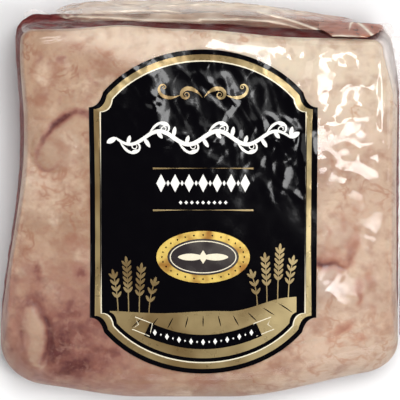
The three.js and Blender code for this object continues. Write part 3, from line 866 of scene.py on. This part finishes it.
def vine():
    """White vine across the upper half: a waving stem with curled tendrils and pointed leaves."""
    half, periods, swing = 45, 3, 3.4
    x = np.linspace(-half, half, 240)
    k = periods * 2 * math.pi / (2 * half)
    stem = np.stack([x, VINE_Y + swing * np.sin(k * x)], 1)
    outlines = [stroke(stem, swell(240, 0.7, 2.2, 0.4))]
    for node in range(2 * periods):
        side = 1 if node % 2 else -1
        cx = -half + (node + 0.12) * half / periods
        heading = math.atan2(swing * k * math.cos(k * cx), 1)
        root = (cx, VINE_Y + swing * math.sin(k * cx))
        bends = (0.1 * side, -0.5 * side, -1.4 * side, -2.2 * side, -4.2 * side)
        tendril = scroll(root, heading + side * 0.4, 26, bends, 90)
        outlines.append(stroke(tendril, taper(90, 0.45, 1.35, 0.25)))
        tip = tendril[33] - tendril[30]
        outlines.append(leaf(*tendril[31], 4.6, 1.9, math.atan2(tip[1], tip[0]) - side * 0.5))
        for share, turn, size in ((0.3, -1.1, 4.6), (0.86, 1.2, 5.6)):
            lx = cx + share * half / periods
            ly = VINE_Y + swing * math.sin(k * lx)
            outlines.append(leaf(lx, ly, size, 2.1, side * turn + 0.2))
    tip = leaf(half - 0.5, stem[-1, 1], 5.6, 2.8, 0.5)
    back = leaf(0.5 - half, stem[0, 1], 5.6, 2.8, math.pi + 0.5)
    return outlines + [tip, back]


def rule(y):
    low, high = y - RULE_WIDTH / 2, y + RULE_WIDTH / 2
    return [np.array([[-RULE_HALF, low], [RULE_HALF, low], [RULE_HALF, high], [-RULE_HALF, high]])]


def row(y, count, pitch, width, height):
    first = -(count - 1) / 2 * pitch
    return [lozenge(first + k * pitch, y, width, height) for k in range(count)]


def lozenge_row():
    """Large lozenges with small ones between them."""
    return row(LOZENGES_Y, 7, 7.2, 4.9, 9.4) + row(LOZENGES_Y, 6, 7.2, 1.7, 3)


def hill_top(x):
    return HILLS_Y + 0.6 * np.sin(x / 9 + 0.9) + 8 * ease(12, 44, x)


def hills():
    """Rolling ground that fills the plaque's foot and rises at the right."""
    ground = plaque(LABEL_RIM + LABEL_BORDER + 2.6)
    ground = ground[ground[:, 1] < HILLS_Y]
    x = np.linspace(ground[-1, 0], ground[0, 0], 60)
    return [np.concatenate([ground, np.stack([x, hill_top(x)], 1)])]


def furrows():
    """Dark furrows that fan out over the ground."""
    outlines = []
    for k in range(-4, 6):
        x = np.linspace(7.8 * k, 9.2 * k, 12)
        y = hill_top(x) - np.linspace(2.5, 8, 12)
        outlines.append(stroke(np.stack([x, y], 1), swell(12, 0.15, 0.6)))
    return outlines


# Stalks of wheat: place from the middle, height, how far it leans out, pairs of grains
WHEAT = [(44, 19, 2, 4), (38.5, 26, 1, 6), (33, 23, -1, 5), (28, 16, -2.5, 3)]


def ear_of_wheat(x, y, height, lean_over, grains):
    """A stalk with pairs of pointed grains."""
    t = np.linspace(0, 1, 20)
    line = np.stack([x + lean_over * t * t, y + height * t], 1)
    outlines = [stroke(line, 0.55)]
    for k in range(grains):
        share = mix(0.42, 0.95, k / (grains - 1))
        gx, gy = x + lean_over * share * share, y + height * share
        tilt = math.atan2(height, 2 * lean_over * share)
        outlines += [leaf(gx, gy, 4, 1.4, tilt + side * 0.62) for side in (-1, 1)]
    return outlines + [leaf(*line[-1], 4.2, 1.5, math.atan2(height, 2 * lean_over))]


def wheat():
    """Two like bunches of wheat, one at each end of the hills, leaning apart."""
    outlines = []
    for place, height, lean_over, grains in WHEAT:
        for side in (-1, 1):
            x = side * place
            outlines += ear_of_wheat(x, hill_top(x) - 1, height, side * lean_over, grains)
    return outlines


def ribbon_line(half, steps):
    x = np.linspace(-half, half, steps)
    return np.stack([x, RIBBON_Y + RIBBON_SAG * (x / RIBBON_HALF) ** 2], 1)


def ribbon():
    return [stroke(ribbon_line(RIBBON_HALF, 60), RIBBON_WIDTH)]


def ribbon_tail(side):
    """A folded end of the ribbon, with a notch."""
    points = np.array([[27.8, -64], [36.6, -60.4], [33.2, -58.2], [35.2, -54.4], [26.4, -57.8]])
    return anticlockwise(points * (side, 1))


def ribbon_beads():
    line = ribbon_line(RIBBON_HALF - 4, 17)
    big = [lozenge(x, y, 2.1, 3.4) for x, y in line[::2]]
    small = [lozenge(x, y, 1, 1.3) for x, y in line[1::2]]
    return big + small


# Print laid over the film

def winding(points, outlines):
    """How many times the outlines run round each point."""
    total = np.zeros(len(points), int)
    for outline in outlines:
        a, b = outline, np.roll(outline, -1, 0)
        for lot in range(0, len(points), 4000):
            p = points[lot:lot + 4000]
            px, py = p[:, 0:1], p[:, 1:2]
            side = (b[:, 0] - a[:, 0]) * (py - a[:, 1]) - (px - a[:, 0]) * (b[:, 1] - a[:, 1])
            up = (a[:, 1] <= py) & (b[:, 1] > py) & (side > 0)
            down = (a[:, 1] > py) & (b[:, 1] <= py) & (side < 0)
            total[lot:lot + 4000] += up.sum(1) - down.sum(1)
    return total


def filling(outlines, step):
    """Points on a grid inside the outlines' box, in rows that are staggered."""
    low = np.min([outline.min(0) for outline in outlines], 0)
    high = np.max([outline.max(0) for outline in outlines], 0)
    y = np.arange(low[1] + step / 2, high[1], step * 0.87)
    x = np.arange(low[0] + step / 2, high[0], step)
    grid_x, grid_y = np.meshgrid(x, y)
    grid_x = grid_x + (np.arange(len(y)) % 2)[:, None] * step / 2
    points = np.stack([grid_x.ravel(), grid_y.ravel()], 1)
    return points[winding(points, outlines) > 0] if len(points) else points


def print_mesh(outlines, step):
    """Triangles of the outlines' inside, with their points."""
    vertices, edges = [], []
    for outline in outlines:
        first, count = len(vertices), len(outline)
        vertices += outline.tolist()
        edges += [(first + i, first + (i + 1) % count) for i in range(count)]
    vertices += filling(outlines, step).tolist()
    result = delaunay_2d_cdt([Vector(v) for v in vertices], edges, [], 0, 1e-4, False)
    points = np.array([tuple(v) for v in result[0]])
    triangles = np.array(result[2])
    inside = winding(points[triangles].mean(1), outlines) > 0
    return points, triangles[inside]


def printed(name, outlines, layer, material, node=None, step=1.2):
    """A thin solid of the outlines that follows the film, on a numbered layer."""
    flat, triangles = print_mesh([outline + (LABEL_X, LABEL_Y) for outline in outlines], step)
    used = np.unique(triangles)
    renumber = np.zeros(len(flat), int)
    renumber[used] = np.arange(len(used))
    flat, triangles = flat[used], renumber[triangles]
    edges = np.concatenate([triangles[:, [0, 1]], triangles[:, [1, 2]], triangles[:, [2, 0]]])
    keys = {tuple(edge) for edge in edges.tolist()}
    rim = [(a, b) for a, b in keys if (b, a) not in keys]
    base = film_top(flat[:, 0], flat[:, 1]) + PRINT_GAP + layer * PRINT_STEP
    count = len(flat)
    low = np.column_stack([flat, base])
    high = np.column_stack([flat, base + PRINT_SKIN])
    faces = (triangles + count).tolist() + triangles[:, ::-1].tolist()
    faces += [(a, b, b + count, a + count) for a, b in rim]
    piece = mesh_piece(name, np.concatenate([low, high]), faces, material)
    if node:
        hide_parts(node)
    return piece


# Materials

def linear(red, green, blue):
    """A colour given as it shows on a screen, from 0 to 255, as linear light."""
    share = np.array([red, green, blue]) / 255
    light = np.where(share <= 0.04045, share / 12.92, ((share + 0.055) / 1.055) ** 2.4)
    return (*light.tolist(), 1.0)


class Nodes:
    """A new material and short ways to add nodes to it; feed() takes underscores for a socket's spaces."""

    def __init__(self, name):
        self.material = bpy.data.materials.new(name)
        self.material.use_nodes = True
        self.tree = self.material.node_tree
        self.tree.nodes.clear()
        self.out = self.add("ShaderNodeOutputMaterial")
        self.place = self.add("ShaderNodeTexCoord").outputs["Object"]

    def add(self, kind, **settings):
        node = self.tree.nodes.new(kind)
        for key, value in settings.items():
            setattr(node, key, value)
        return node

    def give(self, value, socket):
        """Links another socket to a socket, or sets its constant."""
        if isinstance(value, bpy.types.NodeSocket):
            self.tree.links.new(value, socket)
        else:
            socket.default_value = value

    def feed(self, node, **inputs):
        for key, value in inputs.items():
            self.give(value, node.inputs[key.replace("_", " ")])

    def noise(self, size, detail, rough=0.55, distortion=0.0, stretch=None):
        """Noise with features about size metres across, from 0 to 1."""
        node = self.add("ShaderNodeTexNoise")
        self.feed(node, Scale=1 / size, Detail=detail, Roughness=rough, Distortion=distortion)
        place = self.place
        if stretch:
            mapping = self.add("ShaderNodeMapping")
            self.feed(mapping, Vector=place, Scale=stretch)
            place = mapping.outputs["Vector"]
        self.feed(node, Vector=place)
        return node.outputs["Fac"]

    def math(self, operation, a, b=0.0, clamp=False):
        node = self.add("ShaderNodeMath", operation=operation, use_clamp=clamp)
        self.give(a, node.inputs[0])
        self.give(b, node.inputs[1])
        return node.outputs[0]

    def times(self, a, b, clamp=False):
        return self.math("MULTIPLY", a, b, clamp)

    def step(self, value, low, high, to_low=0.0, to_high=1.0):
        node = self.add("ShaderNodeMapRange", interpolation_type="SMOOTHSTEP")
        self.feed(node, Value=value, From_Min=low, From_Max=high, To_Min=to_low, To_Max=to_high)
        return node.outputs["Result"]

    def between(self, share, ends):
        """A value that runs straight from one end to the other as share goes from 0 to 1."""
        node = self.add("ShaderNodeMapRange")
        self.feed(node, Value=share, To_Min=ends[0], To_Max=ends[1])
        return node.outputs["Result"]

    def blend(self, share, a, b):
        """Colour a, with colour b over it by a share."""
        node = self.add("ShaderNodeMix", data_type="RGBA", blend_type="MIX")
        self.give(share, node.inputs["Factor"])
        self.give(a, node.inputs[6])
        self.give(b, node.inputs[7])
        return node.outputs[2]

    def cover(self, share, a, b):
        """Shader a, with shader b over it by a share."""
        node = self.add("ShaderNodeMixShader")
        self.give(share, node.inputs[0])
        self.give(a.outputs[0], node.inputs[1])
        self.give(b.outputs[0], node.inputs[2])
        return node

    def attribute(self, name):
        return self.add("ShaderNodeAttribute", attribute_name=name).outputs["Fac"]

    def bump(self, height, distance):
        node = self.add("ShaderNodeBump")
        self.feed(node, Strength=1.0, Distance=distance, Height=height)
        return node.outputs["Normal"]

    def ridge(self, value, width):
        """1 where a noise value crosses its middle, falling to 0 within width."""
        off = self.math("ABSOLUTE", self.math("SUBTRACT", value, 0.5))
        return self.step(off, 0, width, 1, 0)

    def principled(self, **inputs):
        shader = self.add("ShaderNodeBsdfPrincipled")
        self.feed(shader, **inputs)
        return shader

    def surface(self, shader):
        self.feed(self.out, Surface=shader.outputs[0])
        return self.material

    def flesh(self, colour, roughness, specular, grain, glow, reach):
        """A moist surface with a fine grain that light enters a little way, reach for each colour."""
        bump = self.bump(self.noise(grain, 4, 0.6), 0.0002)
        shader = self.principled(Base_Color=colour, Roughness=roughness, Normal=bump)
        self.feed(shader, Specular_IOR_Level=specular, Subsurface_Weight=glow)
        self.feed(shader, Subsurface_Radius=reach, Subsurface_Scale=1.0)
        return self.surface(shader)


def fat_material():
    """Raw beef fat: cream and tan with pinkish mottling; shade runs from pale to dark red, and takes in
    painted shade at the lower left and in creases. Where calm is below 0 the fat is paler as painted
    light, and its marks come in lighter, lit copies there.
    """
    n = Nodes("beef fat")
    shade = n.attribute("shade")
    calm = n.attribute("calm")
    lively = n.step(calm, 0, 1, 1, 0.15)
    # pale: painted light on the lit right and along the back
    pale = n.step(calm, 0, -0.5)
    broad = n.step(n.noise(0.034, 4, 0.6, 0.4), 0.38, 0.62)
    colour = n.blend(broad, linear(180, 149, 124), linear(158, 125, 102))
    # paler cream where painted light falls
    colour = n.blend(n.times(pale, 0.8), colour, linear(219, 193, 173))
    colour = n.blend(n.step(calm, -0.3, -0.7), colour, linear(222, 205, 182))
    colour = n.blend(n.step(calm, 0, 0.5, 0, 0.5), colour, linear(192, 168, 146))
    veins = n.times(n.ridge(n.noise(0.017, 3, 0.6, 0.5), 0.045), n.step(n.noise(0.02, 2), 0.42, 0.62))
    veins = n.times(n.times(veins, lively), 0.75)
    colour = n.blend(veins, colour, n.blend(pale, linear(152, 104, 82), linear(192, 148, 122)))
    clouds = n.step(n.noise(0.012, 3, 0.5, 0.4), 0.46, 0.76, 0, 0.55)
    colour = n.blend(n.times(clouds, lively), colour, linear(218, 194, 170))
    less = n.math("SUBTRACT", n.step(shade, 0, 0.3, 1, 1.2), n.times(pale, 0.4))
    less = n.times(less, lively)
    mottle = n.step(n.noise(0.013, 3, 0.5, 0.2), 0.48, 0.74, 0, 0.8)
    colour = n.blend(n.times(mottle, less), colour, linear(148, 100, 80))
    strokes = n.step(n.noise(0.006, 3, 0.5, 0.2, (1, 1.3, 1)), 0.48, 0.76, 0, 0.45)
    colour = n.blend(n.times(strokes, less), colour, linear(150, 102, 84))
    broken = n.times(shade, n.step(n.noise(0.008, 3, 0.5, 0.2), 0.28, 0.68, 0.55, 1.1))
    # blush colours in a darker copy and a lighter painted-light copy
    low = n.blend(pale, linear(162, 120, 104), linear(198, 152, 126))
    colour = n.blend(n.step(broken, 0.03, 0.5, 0, 0.85), colour, low)
    middle = n.blend(pale, linear(134, 84, 74), linear(172, 118, 96))
    colour = n.blend(n.step(broken, 0.22, 0.85, 0, 0.9), colour, middle)
    colour = n.blend(n.step(broken, 0.55, 1.5, 0, 0.9), colour, linear(84, 38, 38))
    smudge = n.step(n.noise(0.006, 3, 0.6, 0.3), 0.42, 0.74)
    smudge = n.times(n.times(smudge, n.step(shade, 0.15, 0.6, 0, 0.6)), n.step(pale, 0, 1, 1, 0.2))
    colour = n.blend(smudge, colour, linear(108, 64, 62))
    paler = n.step(n.noise(0.0045, 3, 0.5, 0.4), 0.52, 0.72)
    paler = n.times(n.times(paler, n.step(shade, 0.2, 0.6, 0, 0.35)), lively)
    colour = n.blend(paler, colour, linear(178, 138, 122))
    fine = n.times(n.step(n.noise(0.0019, 3, 0.7), 0.4, 0.72, 0, 0.22), n.step(pale, 0, 1, 1, 0.25))
    colour = n.blend(fine, colour, linear(146, 104, 84))
    return n.flesh(colour, 0.5, 0.15, 0.0035, 0.25, (0.004, 0.0018, 0.001))


def lean_material():
    """Raw lean: dark red with a grain along the muscle and a few thin threads of fat, darker along its top
    where painted shade lies under the fat.
    """
    n = Nodes("beef lean")
    shade = n.attribute("shade")
    grain = n.noise(0.006, 5, 0.6, 0.4, (1, 1, 2.2))
    colour = n.blend(n.step(grain, 0.35, 0.68), linear(80, 28, 31), linear(138, 64, 62))
    # painted shade along the top next to the fat
    painted_shade = n.times(shade, n.step(n.noise(0.011, 3), 0.3, 0.6, 0.55, 1))
    colour = n.blend(painted_shade, colour, linear(90, 36, 35))
    threads = n.ridge(n.noise(0.022, 2, 0.4, 0.1, (1, 1, 2.4)), 0.012)
    threads = n.times(n.math("SUBTRACT", threads, shade, True), n.step(n.noise(0.013, 2), 0.5, 0.6))
    colour = n.blend(n.times(threads, 0.6), colour, linear(206, 170, 146))
    return n.flesh(colour, 0.35, 0, 0.002, 0.2, (0.003, 0.0008, 0.0006))


def film_material(name, look, gloss, cap, roughness):
    """Clear film under a glossy face: look gives its haze and its colour for the shade, and the shine
    runs between the two ends of gloss with the shade.
    """
    n = Nodes(name)
    shade = n.attribute("shade")
    haze, tint = look(n, shade)
    clear = n.add("ShaderNodeBsdfTransparent")
    veil = n.principled(Base_Color=tint, Roughness=0.5, Specular_IOR_Level=0.1)
    cloud = n.step(n.noise(0.012, 3, 0.5, 0.4), 0.35, 0.7, 0.8, 1.15)
    body = n.cover(n.times(cloud, haze, True), clear, veil)
    blur = n.step(n.noise(0.014, 2), 0.4, 0.62, roughness, 2.6 * roughness)
    shine = n.add("ShaderNodeBsdfGlossy")
    n.feed(shine, Color=(1, 1, 1, 1), Roughness=blur)
    fresnel = n.add("ShaderNodeFresnel")
    n.feed(fresnel, IOR=1.55)
    capped = n.math("MINIMUM", fresnel.outputs[0], cap)
    return n.surface(n.cover(n.times(capped, n.between(shade, gloss)), body, shine))


# milky veil of the bag; on the walls and over the blister it is partly painted sheen and painted highlight
def bag_look(n, shade):
    return n.step(n.attribute("calm"), 0, 1, 0.004, 0.9), linear(250, 241, 236)


def seam_look(n, shade):
    return n.step(n.noise(0.005, 2), 0.3, 0.7, 0.5, 0.95), linear(140, 98, 100)


def fold_look(n, shade):
    """Tan or brown where the folds are thin, cream where they are thick. The brown is partly painted shade
    in the pocket, and the cream along the fold lines is partly painted highlight.
    """
    brown_and_shade = n.attribute("calm")
    warm = n.blend(brown_and_shade, linear(238, 208, 182), linear(172, 82, 40))
    thick = n.times(n.step(shade, 0.35, 0.95), n.step(brown_and_shade, 0.4, 1, 1, 0.05))
    return shade, n.blend(thick, warm, linear(246, 230, 210))


def ink_material(name, colour, roughness, metallic=0.0, second=None, painted_reflection_right=False, size=0.05):
    """Glossy print. A second colour comes in as clouds about size metres across, and towards the right
    side as well when asked, as a painted reflection that brightens the print there.
    """
    n = Nodes(name)
    base = colour
    if second:
        share = n.step(n.noise(size, 2, 0.5), 0.38, 0.62, 0, 0.45 if painted_reflection_right else 1)
        # painted reflection: the second colour grows towards the right side
        if painted_reflection_right:
            split = n.add("ShaderNodeSeparateXYZ")
            n.feed(split, Vector=n.place)
            share = n.math("ADD", share, n.step(split.outputs["X"], 0, 0.065, 0, 0.6), True)
        base = n.blend(share, colour, second)
    cloud = n.step(n.noise(0.01, 3, 0.6), 0.3, 0.7, roughness * 0.85, roughness * 1.25)
    bump = n.bump(n.noise(0.0012, 2, 0.5), 0.00002)
    shader = n.principled(Base_Color=base, Metallic=metallic, Roughness=cloud, Normal=bump)
    n.feed(shader, Specular_IOR_Level=0.3)
    return n.surface(shader)


FAT = fat_material()
LEAN = lean_material()
FILM = film_material("bag film", bag_look, (0, 1), 0.06, 0.06)
SEAM = film_material("seam film", seam_look, (0.5, 1), 0.05, 0.1)
FOLDED = film_material("folded film", fold_look, (0.1, 1), 0.11, 0.09)
BLACK = ink_material("black print", linear(8, 7, 10), 0.1)
# gold border brighter towards the right: painted reflection
GOLD = ink_material("gold print", linear(128, 104, 66), 0.3, 0.4, linear(196, 176, 128), True, 0.03)
RING = ink_material("ring gold", linear(160, 108, 44), 0.3, 0.3, linear(232, 200, 104), False, 0.011)
PALE_GOLD = ink_material("pale gold print", linear(240, 230, 204), 0.25, 0.05)
WHITE = ink_material("white print", linear(240, 238, 232), 0.25)
GREY = ink_material("grey print", linear(46, 40, 41), 0.25, 0, linear(74, 68, 64), False, 0.02)


def add_pack():
    piece = shell_piece("fat", fat_shell(), FAT)
    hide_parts("fat_cap")
    piece = shell_piece("lean_meat", lean_shell(), LEAN)
    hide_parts("lean")
    piece = shell_piece("bag", film_shell(), FILM)
    pad = film_pad_shell(FOLD_SPAN, fold_low, fold_top, fold_thickness, 0, FOLD_LINES, *FOLD_STEPS)
    piece = shell_piece("folded_end", pad, FOLDED)
    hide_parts("film_tail")
    pad = film_pad_shell(TUCK_SPAN, tuck_low, tuck_top, tuck_thickness, TUCK_GAP, TUCK_LINES, *TUCK_STEPS)
    piece = shell_piece("tuck", pad, FOLDED)
    for node, sizes in FINS.items():
        piece = shell_piece(node + "_sheet", film_fin_shell(**sizes), SEAM if "seam" in node else FILM)
        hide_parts(node)


def add_print():
    rim, border = LABEL_RIM, LABEL_RIM + LABEL_BORDER
    printed("plaque", [plaque()], 0, BLACK, "label_plaque", 1.1)
    printed("border", [plaque(rim), reverse(plaque(border))], 1, GOLD, "label_border")
    line = printed("border_line", [plaque(border - 0.1), reverse(plaque(border + 0.6))], 1, PALE_GOLD)
    printed("flourish", flourish(), 1, GOLD, "label_flourish")
    printed("vine", vine(), 1, WHITE, "label_wave")
    printed("upper_rule", rule(RULE_UPPER_Y), 1, GOLD, "label_rule_upper")
    printed("lozenges", lozenge_row(), 1, WHITE, "label_lozenges")
    printed("beads", row(BEADS_Y, 9, 2.9, 1.9, 2), 1, WHITE, "label_beads")
    printed("lower_rule", rule(RULE_LOWER_Y), 1, GOLD, "label_rule_lower")
    printed("oval", [oval(*OVAL_OUTER), reverse(oval(*OVAL_INNER))], 1, RING, "label_oval")
    turns = np.linspace(0, 2 * math.pi, 29)[:-1]
    dots = [lozenge(21.2 * math.cos(t), OVAL_Y + 11.5 * math.sin(t), 1, 1.2) for t in turns]
    printed("oval_dots", dots, 2, BLACK)
    printed("oval_field", [oval(*OVAL_INNER)], 1, GREY, "label_oval_field")
    edge = [oval(17.2, 8.5), reverse(oval(16.7, 8))]
    printed("oval_line", edge, 2, PALE_GOLD)
    bar = [leaf(0, OVAL_Y, 13, 3.6, 0), leaf(0, OVAL_Y, 13, 3.6, math.pi), lozenge(0, OVAL_Y, 4.6, 7)]
    printed("oval_bar", bar, 2, PALE_GOLD)
    printed("hills", hills(), 1, GOLD, "label_hills")
    printed("furrows", furrows(), 2, BLACK)
    printed("wheat", wheat(), 1, GOLD)
    printed("ribbon", ribbon(), 3, BLACK, "label_ribbon")
    edges = [outline for side in (-1, 1) for outline in outlined(ribbon_tail(side), 0.5)]
    printed("ribbon_tail_edges", edges, 3, PALE_GOLD)
    printed("ribbon_beads", ribbon_beads(), 4, WHITE)


# Floor, lights and camera

def add_floor():
    bpy.ops.mesh.primitive_plane_add(size=6, location=(0, 0, -0.0002))
    floor = bpy.context.object
    floor.name = "floor"
    n = Nodes("pale floor")
    tone = n.blend(n.noise(0.4, 3), (0.9, 0.9, 0.9, 1), (0.93, 0.93, 0.93, 1))
    floor.data.materials.append(n.surface(n.principled(Base_Color=tone, Roughness=0.9)))


# Lights: place and size in metres, power in watts
LIGHTS = {
    "key": ((0.22, 0.47, 1.8), (0.74, 0.74), 18),
    "halo": ((0.3, 0.62, 1.95), (1.6, 1.6), 10),
    "right": ((0.63, -0.33, 1.8), (0.62, 0.62), 14),
    "fill": ((-1.9, -0.5, 1.3), (1.8, 1.8), 14.5),
    "front": ((0.5, -1.9, 0.9), (1.6, 0.8), 8),
}


def add_light(name, place, size, power, aim=(0, 0, 0.05)):
    light = bpy.data.lights.new(name, "AREA")
    light.shape = "RECTANGLE"
    light.size, light.size_y = size
    light.energy = power
    holder = bpy.data.objects.new(name, light)
    holder.location = place
    holder.rotation_euler = (Vector(aim) - Vector(place)).to_track_quat("-Z", "Y").to_euler()
    bpy.context.scene.collection.objects.link(holder)


def add_camera(distance=1.8, tilt=math.radians(3), aim=(-0.0016, 0.0005, 0.04), width=0.208):
    data = bpy.data.cameras.new("camera")
    data.sensor_width = 36
    data.lens = data.sensor_width * distance / width
    camera = bpy.data.objects.new("camera", data)
    back = Vector((0, math.sin(tilt), math.cos(tilt)))
    camera.location = Vector(aim) + back * distance
    camera.rotation_euler = (-tilt, 0, 0)
    bpy.context.scene.collection.objects.link(camera)
    bpy.context.scene.camera = camera


def set_view():
    """Colours come out as they are, without a film look."""
    bpy.context.scene.view_settings.view_transform = "Standard"


def add_world(low, high):
    """A bright band round the horizon that grows dark overhead."""
    world = bpy.data.worlds.new("studio")
    world.use_nodes = True
    tree = world.node_tree
    place = tree.nodes.new("ShaderNodeTexCoord")
    split = tree.nodes.new("ShaderNodeSeparateXYZ")
    fade = tree.nodes.new("ShaderNodeMapRange")
    fade.interpolation_type = "SMOOTHSTEP"
    for key, value in {"From Min": 0.2, "From Max": 0.75, "To Min": low, "To Max": high}.items():
        fade.inputs[key].default_value = value
    tree.links.new(place.outputs["Generated"], split.inputs[0])
    tree.links.new(split.outputs["Z"], fade.inputs["Value"])
    tree.links.new(fade.outputs["Result"], tree.nodes["Background"].inputs["Strength"])
    bpy.context.scene.world = world


add_camera()
set_view()
add_pack()
add_print()
add_floor()
add_world(1.0, 0.02)
for light_name, settings in LIGHTS.items():
    add_light(light_name, *settings)
